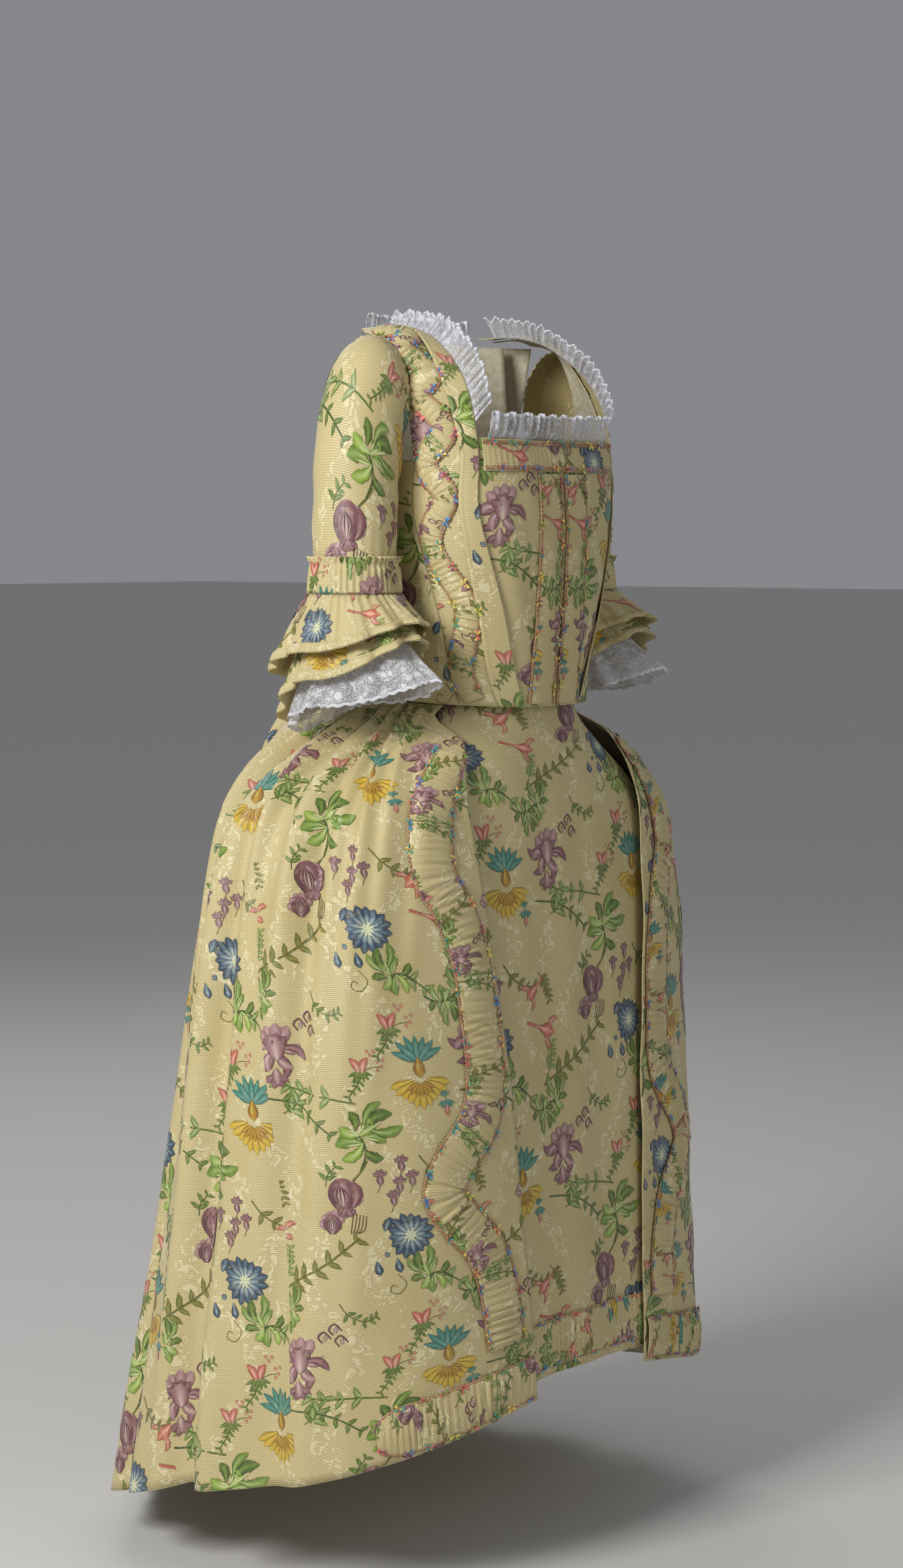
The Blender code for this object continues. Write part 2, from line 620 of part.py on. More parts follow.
def hem_flounce(side, skirt):
    """Ruched strip on the robe's front hem, rounded at its outer end."""
    hem = ROBE[HEM]
    first = edge_angle(HEM, hem.edge_x)
    end_share = (HEM_STRIP_END - first) / (hem.seam - first)

    def point(share, rise):
        turn_in = max(0.0, (share - 0.80) / 0.20)
        top = HEM_STRIP * (1 - 0.55 * turn_in ** 2)
        at = HEM - 0.05 - rise * top / 0.105
        puff = 0.0020 * (1 - (2 * rise - 1) ** 2) * (0.55 + 0.45 * cos(2 * pi * share * HEM_STRIP_WAVES))
        return skirt.at(0.004 + share * end_share, at, LIFT + puff)

    cloth = Cloth(point, steps(0, 1, HEM_STRIP_WAVES * 3), (0, 0.5, 1), LEFT)
    if side == RIGHT:
        cloth.grid = cloth.grid[:, ::-1]
    sew(named("hem_flounce", side), cloth, STRAW_TRIM, outward=True)


def neck_lace_side(side, robing):
    """Lace along the robing's inner edge, from the bust to behind the shoulder."""
    waves = 9
    first, last = 3.72, LAST_STATION - 0.42

    def point(rise, station):
        along = (station - first) / (last - first)
        edge = robing.at(-0.03, station, -LACE)
        inward = edge - robing.at(0.11, station, -LACE)
        inward /= np.linalg.norm(inward)
        facing = robing.at(-0.03, station, 1.0) - robing.at(-0.03, station, 0.0)
        way = inward * 0.60 + np.array([0, 0, 0.78])
        way /= np.linalg.norm(way)
        wave = NECK_LACE_WAVE * rise * cos(2 * pi * waves * along)
        return edge + inward * 0.0009 + way * NECK_LACE_RISE * rise + facing * wave

    cloth = Cloth(point, (1, 0), steps(first, last, waves * 3), LEFT)
    if side == RIGHT:
        cloth.grid = cloth.grid[:, ::-1]
    sew(named("neck_lace", side), cloth, LACE_WHITE, LACE)


def neck_lace_front():
    """Lace standing on the front neckline."""
    waves = 10

    def point(share, rise):
        x = abs(share) * (inner_x(ARMHOLE) - 0.013)
        base = robe_point(edge_angle(NECKLINE, x), NECKLINE) * np.array([1 if share >= 0 else -1, 1, 1])
        wave = NECK_LACE_WAVE * rise * cos(2 * pi * waves * (share + 1) / 2)
        return base + np.array([0, -0.004 * rise - wave, 0.0006 + NECK_LACE_RISE * rise])

    sew("neck_lace_front", Cloth(point, steps(-1, 1, waves * 3), (0, 1)), LACE_WHITE, LACE)


def neck_lace_back():
    """Lace standing on the back neckline."""
    waves = 8

    def point(share, rise):
        angle = 180 + share * 44
        base = robe_point(angle, NECK)
        out = np.array([sin(radians(angle)), -cos(radians(angle)), 0])
        wave = NECK_LACE_WAVE * rise * cos(2 * pi * waves * (share + 1) / 2)
        return base + out * (wave - 0.003 * rise) + np.array([0, 0, 0.0006 + 0.032 * rise])

    sew("neck_lace_back", Cloth(point, steps(-1, 1, waves * 3), (0, 1)), LACE_WHITE, LACE)


def robe_a_la_francaise():
    petticoat()
    petticoat_flounce()
    sack_back()
    bodice_back()
    compere_band()
    neck_lace_front()
    neck_lace_back()
    for side in (RIGHT, LEFT):
        skirt = robe_skirt(side)
        skirt_trim(side, skirt)
        hem_flounce(side, skirt)
        bodice_side(side)
        outer, inner = robings(side)
        robing_trim(side, outer)
        compere(side)
        compere_strip(side)
        sleeve(side)
        elbow_tiers(side)
        neck_lace_side(side, inner)


for old in list(bpy.data.objects):
    bpy.data.objects.remove(old, do_unlink=True)
collection = bpy.data.collections.new("robe_a_la_francaise")
bpy.context.scene.collection.children.link(collection)
robe_a_la_francaise()
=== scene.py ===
# Looks of the robe a la francaise: brocaded silk, ruched trims, gimp braid, fly tufts and lace.
# Metres, +Z up. The wearer faces -Y, and the wearer's right side is -X.
from collections import namedtuple
from math import atan, cos, log, pi, radians, sin

import bmesh
import bpy
import numpy as np
from bpy.props import FloatProperty, FloatVectorProperty, PointerProperty
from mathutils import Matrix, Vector


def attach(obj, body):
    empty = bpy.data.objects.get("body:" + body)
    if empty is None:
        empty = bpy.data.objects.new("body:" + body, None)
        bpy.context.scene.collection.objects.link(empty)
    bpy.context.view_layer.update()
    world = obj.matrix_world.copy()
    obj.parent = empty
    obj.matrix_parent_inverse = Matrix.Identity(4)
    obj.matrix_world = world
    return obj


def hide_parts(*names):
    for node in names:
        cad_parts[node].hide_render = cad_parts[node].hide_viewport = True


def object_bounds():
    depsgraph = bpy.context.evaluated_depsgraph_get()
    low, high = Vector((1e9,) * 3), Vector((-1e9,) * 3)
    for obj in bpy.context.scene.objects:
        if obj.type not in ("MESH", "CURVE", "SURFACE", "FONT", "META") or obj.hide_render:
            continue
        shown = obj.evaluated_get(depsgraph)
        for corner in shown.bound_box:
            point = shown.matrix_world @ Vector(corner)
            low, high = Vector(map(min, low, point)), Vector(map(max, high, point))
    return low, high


bl_info = {
    "name": "Robe a la francaise",
    "version": (1, 0, 0),
    "blender": (4, 5, 0),
    "location": "View3D > Sidebar > Robe",
    "description": "Dresses the robe in brocaded silk, gimp and lace",
    "category": "Object",
}

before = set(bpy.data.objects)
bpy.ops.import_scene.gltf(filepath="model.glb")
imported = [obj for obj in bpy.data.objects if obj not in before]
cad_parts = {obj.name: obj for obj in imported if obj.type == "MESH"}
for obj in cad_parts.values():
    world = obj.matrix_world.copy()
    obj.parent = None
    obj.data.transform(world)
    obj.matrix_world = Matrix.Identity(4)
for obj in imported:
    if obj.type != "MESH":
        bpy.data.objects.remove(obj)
CAD_BOX = [list(corner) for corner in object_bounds()]
RIGHT, LEFT = -1, 1


# The garment's cut, the same as in the part's source

Ring = namedtuple("Ring", "front_z side_z back_z half_width front_y mid_y back_y square edge_x seam")
ROBE = (
    Ring(-0.050, -0.004, 0.000, 0.164, -0.105, -0.029, 0.078, 3.2, 0.000, 108),
    Ring(-0.085, -0.070, -0.070, 0.161, -0.122, -0.022, 0.100, 3.4, 0.000, 110),
    Ring(-0.140, -0.140, -0.140, 0.147, -0.139, -0.015, 0.122, 3.5, 0.000, 113),
    Ring(-0.200, -0.200, -0.200, 0.143, -0.145, -0.010, 0.142, 3.5, 0.000, 117),
    Ring(-0.300, -0.300, -0.300, 0.132, -0.142, 0.000, 0.172, 3.1, 0.000, 121),
    Ring(-0.412, -0.404, -0.398, 0.123, -0.132, 0.020, 0.200, 2.7, 0.112, 125),
    Ring(-0.452, -0.449, -0.440, 0.190, -0.137, 0.025, 0.209, 2.8, 0.132, 126),
    Ring(-0.492, -0.490, -0.480, 0.250, -0.143, 0.028, 0.215, 2.9, 0.147, 127),
    Ring(-0.550, -0.545, -0.540, 0.295, -0.151, 0.032, 0.217, 3.0, 0.151, 128),
    Ring(-0.660, -0.660, -0.660, 0.320, -0.162, 0.045, 0.229, 3.0, 0.139, 129),
    Ring(-0.800, -0.810, -0.820, 0.333, -0.171, 0.057, 0.254, 3.0, 0.122, 130),
    Ring(-0.950, -0.975, -1.000, 0.344, -0.180, 0.072, 0.287, 3.0, 0.111, 130),
    Ring(-1.068, -1.125, -1.190, 0.353, -0.187, 0.090, 0.328, 3.0, 0.104, 130),
    Ring(-1.163, -1.262, -1.368, 0.360, -0.192, 0.100, 0.374, 3.0, 0.099, 130),
)
NECK, ARMHOLE, BUST, WAIST, HEM = 0, 2, 3, 5, 13
NECKLINE = 1.62
BACK_SQUARE = 2.2

PETTICOAT = (
    Ring(-0.4015, -0.4010, -0.4010, 0.104, -0.118, -0.015, 0.056, 2.7, 0, 0),
    Ring(-0.428, -0.428, -0.428, 0.118, -0.1225, -0.012, 0.075, 2.7, 0, 0),
    Ring(-0.458, -0.462, -0.462, 0.160, -0.1285, -0.004, 0.115, 2.8, 0, 0),
    Ring(-0.500, -0.508, -0.508, 0.228, -0.135, 0.008, 0.160, 2.9, 0, 0),
    Ring(-0.565, -0.570, -0.570, 0.272, -0.144, 0.022, 0.185, 3.0, 0, 0),
    Ring(-0.690, -0.695, -0.700, 0.297, -0.156, 0.040, 0.208, 3.0, 0, 0),
    Ring(-0.850, -0.860, -0.870, 0.314, -0.166, 0.055, 0.240, 3.0, 0, 0),
    Ring(-1.010, -1.030, -1.040, 0.326, -0.176, 0.072, 0.275, 3.0, 0, 0),
    Ring(-1.152, -1.190, -1.200, 0.338, -0.183, 0.085, 0.310, 3.0, 0, 0),
)

Fold = namedtuple("Fold", "hip_angle hem_angle hip_width hem_width hip mid hem")
SIDE_FOLDS = (
    Fold(67, 62, 3.5, 6.0, 0.010, 0.005, 0.006),
    Fold(74, 73, 3.5, 5.5, -0.017, -0.008, -0.006),
    Fold(81, 83, 3.0, 6.0, 0.012, 0.006, 0.007),
    Fold(88, 92, 3.0, 5.0, -0.018, -0.009, -0.009),
    Fold(96, 101, 3.5, 6.5, 0.014, 0.008, 0.010),
    Fold(104, 109, 3.0, 4.5, -0.020, -0.010, -0.010),
    Fold(113, 118, 4.0, 5.0, 0.013, 0.009, 0.010),
)
Pleat = namedtuple("Pleat", "neck_from neck_to hem_from hem_to neck waist hem")
BOX_PLEATS = (
    Pleat(148, 160, 141, 150, 0.006, 0.014, 0.012),
    Pleat(163, 176, 158, 170, 0.008, 0.017, 0.014),
    Pleat(184, 197, 190, 202, 0.008, 0.017, 0.014),
    Pleat(200, 212, 210, 219, 0.006, 0.014, 0.012),
)
PLEAT_SIDE = 1.6
SEAM_GAP = 0.07             # degrees between a seam and the edges beside it

FrontLine = namedtuple("FrontLine", "inner_x joint_x outer")
FRONT_LINES = (
    FrontLine(0.1185, 0.1300, 76.0),
    FrontLine(0.1185, 0.1295, 75.0),
    FrontLine(0.0890, 0.1080, 61.5),
    FrontLine(0.0500, 0.0750, 45.5),
)
Strap = namedtuple("Strap", "inner joint outer")
STRAP = (
    Strap((0.118, -0.108, -0.085), (0.130, -0.091, -0.082), (0.1500, -0.046, -0.088)),
    Strap((0.113, -0.086, -0.045), (0.127, -0.068, -0.040), (0.1530, -0.034, -0.045)),
    Strap((0.104, -0.045, -0.010), (0.120, -0.035, -0.004), (0.1540, -0.018, -0.013)),
    Strap((0.096, -0.006, 0.003), (0.113, -0.002, 0.006), (0.1540, 0.000, -0.003)),
    Strap((0.100, 0.059, 0.005), (0.1165, 0.050, 0.0045), (0.1485, 0.0185, 0.0010)),
)
STRAP_BULGE = 0.004
JOINT = 0.22
LINE_PLACES = (0.0, JOINT, 0.48, 0.74, 1.0)

SleeveRing = namedtuple("SleeveRing", "outer_x outer_z inner_x inner_z mid_y half_depth")
SLEEVE = (
    SleeveRing(0.1548, -0.0065, 0.1490, -0.1375, -0.009, 0.043),
    SleeveRing(0.1780, -0.005, 0.1530, -0.146, -0.010, 0.047),
    SleeveRing(0.2030, -0.024, 0.1500, -0.156, -0.010, 0.049),
    SleeveRing(0.2225, -0.060, 0.1480, -0.168, -0.009, 0.0495),
    SleeveRing(0.2335, -0.108, 0.1475, -0.186, -0.008, 0.0485),
    SleeveRing(0.2380, -0.170, 0.1475, -0.214, -0.008, 0.0475),
    SleeveRing(0.2410, -0.230, 0.1475, -0.242, -0.008, 0.0470),
    SleeveRing(0.2420, -0.2855, 0.1475, -0.2855, -0.008, 0.04725),
)
Tier = namedtuple(
    "Tier",
    "top_z top_r hem_front hem_side hem_back mid_x half_width front_reach back_reach waves depth ease")
ELBOW_X, ELBOW_Y = 0.19475, -0.008
TIERS = {
    "sleeve_heading": Tier(-0.2525, 0.0476, -0.2852, -0.2852, -0.2852, 0.19475, 0.0504, 0.0504, 0.0504,
                           0, 0.0, 1.0),
    "flounce_upper": Tier(-0.2857, 0.0528, -0.316, -0.348, -0.378, 0.2060, 0.0670, 0.100, 0.096,
                          14, 0.0045, 1.0),
    "flounce_lower": Tier(-0.2860, 0.0473, -0.334, -0.378, -0.431, 0.2050, 0.0600, 0.100, 0.086,
                          14, 0.0045, 1.3),
    "lace_cuff": Tier(-0.2990, 0.0451, -0.376, -0.406, -0.438, 0.2040, 0.0510, 0.128, 0.074,
                      14, 0.0040, 1.5),
}
Winding = namedtuple("Winding", "at x")
FURBELOW = (
    Winding(6.15, 0.150), Winding(6.50, 0.161), Winding(7.05, 0.182), Winding(7.70, 0.202),
    Winding(8.35, 0.208), Winding(8.75, 0.186), Winding(9.15, 0.170), Winding(9.52, 0.163),
    Winding(10.0, 0.158), Winding(10.33, 0.170), Winding(10.57, 0.202), Winding(10.77, 0.216),
    Winding(10.97, 0.201), Winding(11.27, 0.168), Winding(11.70, 0.151), Winding(12.22, 0.145),
)


def thread(code):
    """Linear colour of a silk thread from its sRGB code."""
    shares = [int(code[i:i + 2], 16) / 255 for i in (0, 2, 4)]
    return tuple(s / 12.92 if s <= 0.04045 else ((s + 0.055) / 1.055) ** 2.4 for s in shares)


# Sizes and colours that a user would change

class RobeSizes(bpy.types.PropertyGroup):
    silk_wall: FloatProperty(
        name="Silk wall", description="Thickness of the silk", default=0.0010, unit="LENGTH")
    lace_wall: FloatProperty(
        name="Lace wall", description="Thickness of the lace", default=0.0005, unit="LENGTH")
    flower_lift: FloatProperty(
        name="Flower lift", description="How far the brocaded threads float on the ground",
        default=0.00045, unit="LENGTH")
    repeat_width: FloatProperty(
        name="Repeat width", description="Width of the brocade's repeat", default=0.239,
        unit="LENGTH")
    repeat_height: FloatProperty(
        name="Repeat height", description="Height of the brocade's repeat", default=0.340,
        unit="LENGTH")
    gimp_width: FloatProperty(
        name="Gimp width", description="Width of the gimp braid", default=0.0050, unit="LENGTH")
    tuft_gap: FloatProperty(
        name="Tuft gap", description="Distance between fly tufts", default=0.027, unit="LENGTH")


class RobeColours(bpy.types.PropertyGroup):
    straw: FloatVectorProperty(
        name="Straw", description="Ground of the silk", subtype="COLOR", size=3,
        default=thread("D4C696"))
    # Painted sheen: the lighter colour painted on the satin ribbons, which are of the ground's own colour.
    satin_sheen: FloatVectorProperty(
        name="Satin", description="Satin ribbons woven in the ground", subtype="COLOR", size=3,
        default=thread("EFE6BE"))
    gimp: FloatVectorProperty(
        name="Gimp", description="Gimp braid", subtype="COLOR", size=3, default=thread("B59260"))
    lace: FloatVectorProperty(
        name="Lace", description="Lace", subtype="COLOR", size=3, default=thread("DCDCE0"))
    linen: FloatVectorProperty(
        name="Linen", description="Linen lining", subtype="COLOR", size=3, default=thread("D8CFB6"))
    floor: FloatVectorProperty(
        name="Floor", description="Studio floor", subtype="COLOR", size=3, default=thread("D2D0CC"))


# Shape of the garment

def smooth(table, at):
    """Read a table of rows at a fractional row, along a Catmull-Rom curve."""
    last = len(table) - 1
    at = min(max(at, 0.0), float(last))
    i = min(int(at), last - 1)
    f = at - i
    a, b, c, d = [np.asarray(table[min(max(i + k, 0), last)], float) for k in (-1, 0, 1, 2)]
    slope_b = (c - a) / (2 if i > 0 else 1)
    slope_c = (d - b) / (2 if i < last - 1 else 1)
    return (b * (1 + 2 * f) * (1 - f) ** 2 + slope_b * f * (1 - f) ** 2
            + c * f * f * (3 - 2 * f) + slope_c * f * f * (f - 1))


def ring_points(table, angles, at, out=0.0):
    """Points of a ring table at angles from the centre front, with +X at 90 degrees."""
    ring = Ring(*smooth(table, at))
    t = np.radians(angles)
    side, ahead = np.abs(np.sin(t)), np.cos(t)
    front = ahead > 0
    reach = np.where(front, ring.mid_y - ring.front_y, ring.back_y - ring.mid_y)
    power = np.where(front, ring.square, BACK_SQUARE)
    blend = np.abs(ahead) ** np.where(front, 1.5, 0.9)
    z = ring.side_z + (np.where(front, ring.front_z, ring.back_z) - ring.side_z) * blend
    radius = ((np.abs(ahead) / reach) ** power + (side / ring.half_width) ** power) ** (-1 / power) + out
    return np.stack([radius * np.sin(t), ring.mid_y - radius * ahead, z], axis=-1)


def fold_heights(angles, at):
    fall = (at - WAIST) / (HEM - WAIST)
    hip_share = max(0.0, 1 - 2 * fall)
    hem_share = max(0.0, 2 * fall - 1)
    mid_share = 1 - hip_share - hem_share
    height = 0.0
    for fold in SIDE_FOLDS:
        centre = fold.hip_angle + (fold.hem_angle - fold.hip_angle) * fall
        width = fold.hip_width + (fold.hem_width - fold.hip_width) * fall
        rise = fold.hip * hip_share + fold.mid * mid_share + fold.hem * hem_share
        height = height + rise * np.exp(-((angles - centre) / width) ** 2)
    return height * min(1.0, (at - WAIST) / 1.2)


def pleat_heights(angles, at):
    fall = at / HEM
    height = 0.0
    for pleat in BOX_PLEATS:
        start = pleat.neck_from + (pleat.hem_from - pleat.neck_from) * fall
        end = pleat.neck_to + (pleat.hem_to - pleat.neck_to) * fall
        if at < WAIST:
            rise = pleat.neck + (pleat.waist - pleat.neck) * at / WAIST
        else:
            rise = pleat.waist + (pleat.hem - pleat.waist) * (at - WAIST) / (HEM - WAIST)
        sides = np.tanh((angles - start) / PLEAT_SIDE) - np.tanh((angles - end) / PLEAT_SIDE)
        height = height + rise * 0.5 * sides
    return height


# Knife pleats that let the side skirt into the waist, some of which run on as long folds:
# angles at the hip and the hem, width in degrees, and depths at the hip and the hem
Tuck = namedtuple("Tuck", "hip_angle hem_angle width hip hem")
TUCKS = (
    Tuck(59.0, 52.0, 1.5, 0.0034, 0.0000), Tuck(66.0, 59.0, 1.6, 0.0050, 0.0006),
    Tuck(72.5, 63.0, 1.7, 0.0062, 0.0000), Tuck(79.5, 68.0, 2.0, 0.0074, 0.0030),
    Tuck(88.0, 78.0, 1.8, 0.0060, 0.0008), Tuck(98.5, 87.0, 2.2, 0.0086, 0.0062),
    Tuck(107.0, 98.0, 1.9, 0.0070, 0.0030), Tuck(115.5, 108.0, 2.0, 0.0066, 0.0040),
)


def tuck_heights(angles, at):
    """Pleats that stand out on their front side and drop off behind it."""
    fall = (at - WAIST) / (HEM - WAIST)
    height = 0.0
    for tuck in TUCKS:
        centre = tuck.hip_angle + (tuck.hem_angle - tuck.hip_angle) * fall ** 0.8
        x = (angles - centre) / (tuck.width * (1 + 0.8 * fall))
        depth = tuck.hip * max(0.0, 1 - 1.5 * fall) ** 1.2 + tuck.hem * min(1.0, 2.2 * fall)
        height = height - depth * 3.3 * x * np.exp(-x * x)
    return height * min(1.0, (at - WAIST) / 0.45)


def robe_points(angles, at, out=0.0, tucked=False):
    angles = np.asarray(angles, float)
    bend = np.where(angles <= 180, angles, 360 - angles)
    seam = Ring(*smooth(ROBE, at)).seam
    fade = np.minimum(1.0, np.abs(bend - seam) / 6.0)
    folds = fold_heights(bend, at) if at > WAIST else 0.0 * bend
    if tucked and at > WAIST:
        folds = folds + tuck_heights(bend, at)
    height = np.where(bend > seam, pleat_heights(angles, at), folds)
    return ring_points(ROBE, angles, at, out + height * fade)


def edge_angles(at, xs):
    """Angles at which the robe's front lies these distances from the centre."""
    xs = np.atleast_1d(np.asarray(xs, float))
    low, high = np.zeros(len(xs)), np.full(len(xs), 85.0)
    for _ in range(24):
        middle = (low + high) / 2
        short = robe_points(middle, at)[:, 0] < xs
        low, high = np.where(short, middle, low), np.where(short, high, middle)
    return low


def front_line(at):
    return FrontLine(*smooth(FRONT_LINES, at - ARMHOLE))


def bodice_lines(at):
    line = front_line(at)
    inner, joint = edge_angles(at, (line.inner_x, line.joint_x))
    third = (line.outer - joint) / 3
    return robe_points((inner, joint, joint + third, joint + 2 * third, line.outer), at)


def strap_lines(strap):
    inner, joint, outer = (np.array(point) for point in strap)
    across = outer - joint
    rise = np.array([0.35, -0.35, 0.87]) * STRAP_BULGE
    return np.array([inner, joint, joint + across / 3 + rise, joint + across * 2 / 3 + rise, outer])


STATIONS = np.array([bodice_lines(at) for at in (5, 4, 3, 2)] + [strap_lines(s) for s in STRAP])
LAST_STATION = len(STATIONS) - 1


def front_points(across, station):
    """Points across the robings at one station: 0 at the waist, 3 at the armhole, 8 at the back."""
    if station <= WAIST - ARMHOLE:
        lines = bodice_lines(WAIST - station)
    else:
        lines = smooth(STATIONS.reshape(LAST_STATION + 1, -1), station).reshape(-1, 3)
    places = np.interp(across, LINE_PLACES, range(len(LINE_PLACES)))
    points = np.array([smooth(lines, place) for place in places])
    beyond = np.minimum(np.asarray(across, float), 0.0)[:, None] / JOINT
    return points + (lines[1] - lines[0]) * beyond


# Cloth over its flat cut

def wavy(seed, count, low, high):
    """A sum of gentle waves over the flat cut, for creases that no fold explains."""
    dice = np.random.RandomState(seed)
    waves = [(dice.uniform(low, high), dice.uniform(0, pi), dice.uniform(0, 2 * pi)) for _ in range(count)]

    def height(u, v):
        total = 0.0
        for number, turn, start in waves:
            total = total + np.sin(2 * pi * number * (u * cos(turn) + v * sin(turn)) + start)
        return total / count ** 0.5
    return height


class Cloth:
    """Rows of points from the foot up, each towards the wearer's left, with flat places in metres.

    anchor is the share of the width at which the flat cut hangs straight: 0 at its start, 1 at its end.
    Without an anchor the cloth is gathered in evenly where it is narrower.
    """

    def __init__(self, points, across=None, up=None, anchor=None):
        self.points = np.asarray(points, float)
        self.across, self.up = across, up
        along = np.linalg.norm(np.diff(self.points, axis=1), axis=2)
        rise = np.linalg.norm(np.diff(self.points, axis=0), axis=2)
        if anchor is None:
            widest = np.sort(along, axis=0)[-max(1, len(along) // 4):].mean(0)
            along = np.tile(widest, (len(along), 1))
        arcs = np.concatenate([np.zeros((len(along), 1)), np.cumsum(along, axis=1)], axis=1)
        self.width = float(arcs[:, -1].max())
        self.arcs = arcs + (self.width - arcs[:, -1:]) * (anchor or 0.0)
        self.v = np.concatenate([[0], np.cumsum(rise.mean(1))])
        self.height = float(self.v[-1])
        self.facing = None

    def normals(self):
        along = np.gradient(self.points, axis=1)
        rise = np.gradient(self.points, axis=0)
        normal = np.cross(along, rise)
        return normal / np.maximum(np.linalg.norm(normal, axis=2, keepdims=True), 1e-12)

    def push(self, heights):
        """Move the cloth out along its normals by a height for each point."""
        self.points = self.points + self.normals() * np.asarray(heights)[..., None]
        self.facing = None
        return self

    def flat(self):
        return self.arcs, np.tile(self.v[:, None], (1, self.arcs.shape[1]))

    def share_between(self, table, rows, u):
        """Values of a table at flat places u along the given rows."""
        total = np.empty((*u.shape, table.shape[2]))
        for row in np.unique(rows):
            chosen = rows == row
            place = np.interp(u[chosen], self.arcs[row], np.arange(self.arcs.shape[1]))
            j = np.minimum(place.astype(int), self.arcs.shape[1] - 2)
            f = (place - j)[:, None]
            total[chosen] = table[row, j] * (1 - f) + table[row, j + 1] * f
        return total

    def place(self, u, v, lift=0.0):
        """Points on the cloth at flat places, moved out by lift."""
        u, v = np.broadcast_arrays(np.asarray(u, float), np.asarray(v, float))
        if self.facing is None:
            self.facing = self.normals()
        rows = len(self.v)
        i = np.interp(v, self.v, np.arange(rows))
        i0 = np.minimum(i.astype(int), rows - 2)
        f = (i - i0)[..., None]
        table = np.concatenate([self.points, self.facing], axis=2)
        both = self.share_between(table, i0, u) * (1 - f) + self.share_between(table, i0 + 1, u) * f
        return both[..., :3] + both[..., 3:] * np.asarray(lift)[..., None]

    def span(self, v):
        """Flat places of both side edges at a flat height."""
        return (np.interp(v, self.v, self.arcs[:, 0]), np.interp(v, self.v, self.arcs[:, -1]))

    def spot(self, across, up):
        """Flat place of a point given as it was when the cloth was shaped."""
        j = read_back(self.across, across)
        i = read_back(self.up, up)
        row = min(int(i), len(self.v) - 2)
        near = np.interp(j, np.arange(self.arcs.shape[1]), self.arcs[row])
        far = np.interp(j, np.arange(self.arcs.shape[1]), self.arcs[row + 1])
        return np.array([near + (far - near) * (i - row), np.interp(i, np.arange(len(self.v)), self.v)])


def read_back(values, value):
    """Fractional index of a value among values that only rise or only fall."""
    order = 1 if values[-1] > values[0] else -1
    return float(np.interp(value * order, np.asarray(values) * order, np.arange(len(values))))


def cloth_of(point_row, across, up, side=LEFT, anchor=None):
    """Cloth from a function that gives a row of points; the right side is the left one mirrored."""
    rows = np.array([point_row(np.asarray(across, float), at) for at in up])
    if side == RIGHT:
        rows = rows[:, ::-1] * np.array([-1, 1, 1])
        across = np.asarray(across)[::-1]
        anchor = None if anchor is None else 1 - anchor
    return Cloth(rows, across, up, anchor)


def even_rows(table, low, high, count):
    """Ring places from low to high that lie evenly down the side."""
    fine = np.linspace(low, high, 200)
    rings = np.array([smooth(table, at) for at in fine])
    run = np.hypot(np.diff(rings[:, 1]), np.diff(rings[:, 3]))
    length = np.concatenate([[0], np.cumsum(run)])
    return np.interp(np.linspace(0, length[-1], count + 1), length, fine)


# Materials

def rgba(colour):
    return (*colour[:3], 1.0)


def new_material(name, roughness, colour):
    material = bpy.data.materials.new(name)
    material.use_nodes = True
    shader = material.node_tree.nodes["Principled BSDF"]
    shader.inputs["Base Color"].default_value = rgba(colour)
    shader.inputs["Roughness"].default_value = roughness
    return material, material.node_tree, shader


def math(tree, operation, first, second=None, third=None):
    made = tree.nodes.new("ShaderNodeMath")
    made.operation = operation
    for socket, value in zip(made.inputs, (first, second, third)):
        if value is None:
            continue
        if isinstance(value, (int, float)):
            socket.default_value = value
        else:
            tree.links.new(value, socket)
    return made.outputs[0]


def blend_colour(tree, factor, first, second):
    made = tree.nodes.new("ShaderNodeMix")
    made.data_type = "RGBA"
    for socket, value in ((made.inputs[0], factor), (made.inputs[6], first), (made.inputs[7], second)):
        if isinstance(value, (int, float)):
            socket.default_value = value
        elif isinstance(value, (tuple, list)):
            socket.default_value = rgba(value)
        else:
            tree.links.new(value, socket)
    return made.outputs[2]


def wave_of(tree, value, period):
    return math(tree, "SINE", math(tree, "MULTIPLY", value, 2 * pi / period))


def flat_uv(tree):
    """The place on the flat cut, and its parts across and up."""
    uv = tree.nodes.new("ShaderNodeUVMap")
    uv.uv_map = "flat_cut"
    split = tree.nodes.new("ShaderNodeSeparateXYZ")
    tree.links.new(uv.outputs[0], split.inputs[0])
    return uv.outputs[0], split.outputs[0], split.outputs[1]


def noise(tree, place, scale, detail=2.0, output="Fac"):
    made = tree.nodes.new("ShaderNodeTexNoise")
    made.inputs["Scale"].default_value = scale
    made.inputs["Detail"].default_value = detail
    tree.links.new(place, made.inputs["Vector"])
    return made.outputs[output]


def bent(tree, place, scale, amount):
    """The place moved about by noise, so that cells drawn on it lie unevenly."""
    made = tree.nodes.new("ShaderNodeVectorMath")
    made.operation = "MULTIPLY_ADD"
    made.inputs[1].default_value = (amount, amount, 0.0)
    tree.links.new(noise(tree, place, scale, 1.0, "Color"), made.inputs[0])
    tree.links.new(place, made.inputs[2])
    return made.outputs[0]


def cells(tree, place, scale, feature="F1"):
    """Distance from the middle or the edge of irregular cells."""
    made = tree.nodes.new("ShaderNodeTexVoronoi")
    made.feature = feature
    made.inputs["Scale"].default_value = scale
    tree.links.new(place, made.inputs["Vector"])
    return made.outputs["Distance"]


def thread_colour(tree):
    """The colour that each vertex of the woven shapes carries."""
    made = tree.nodes.new("ShaderNodeAttribute")
    made.attribute_name = "thread"
    return made.outputs["Color"]


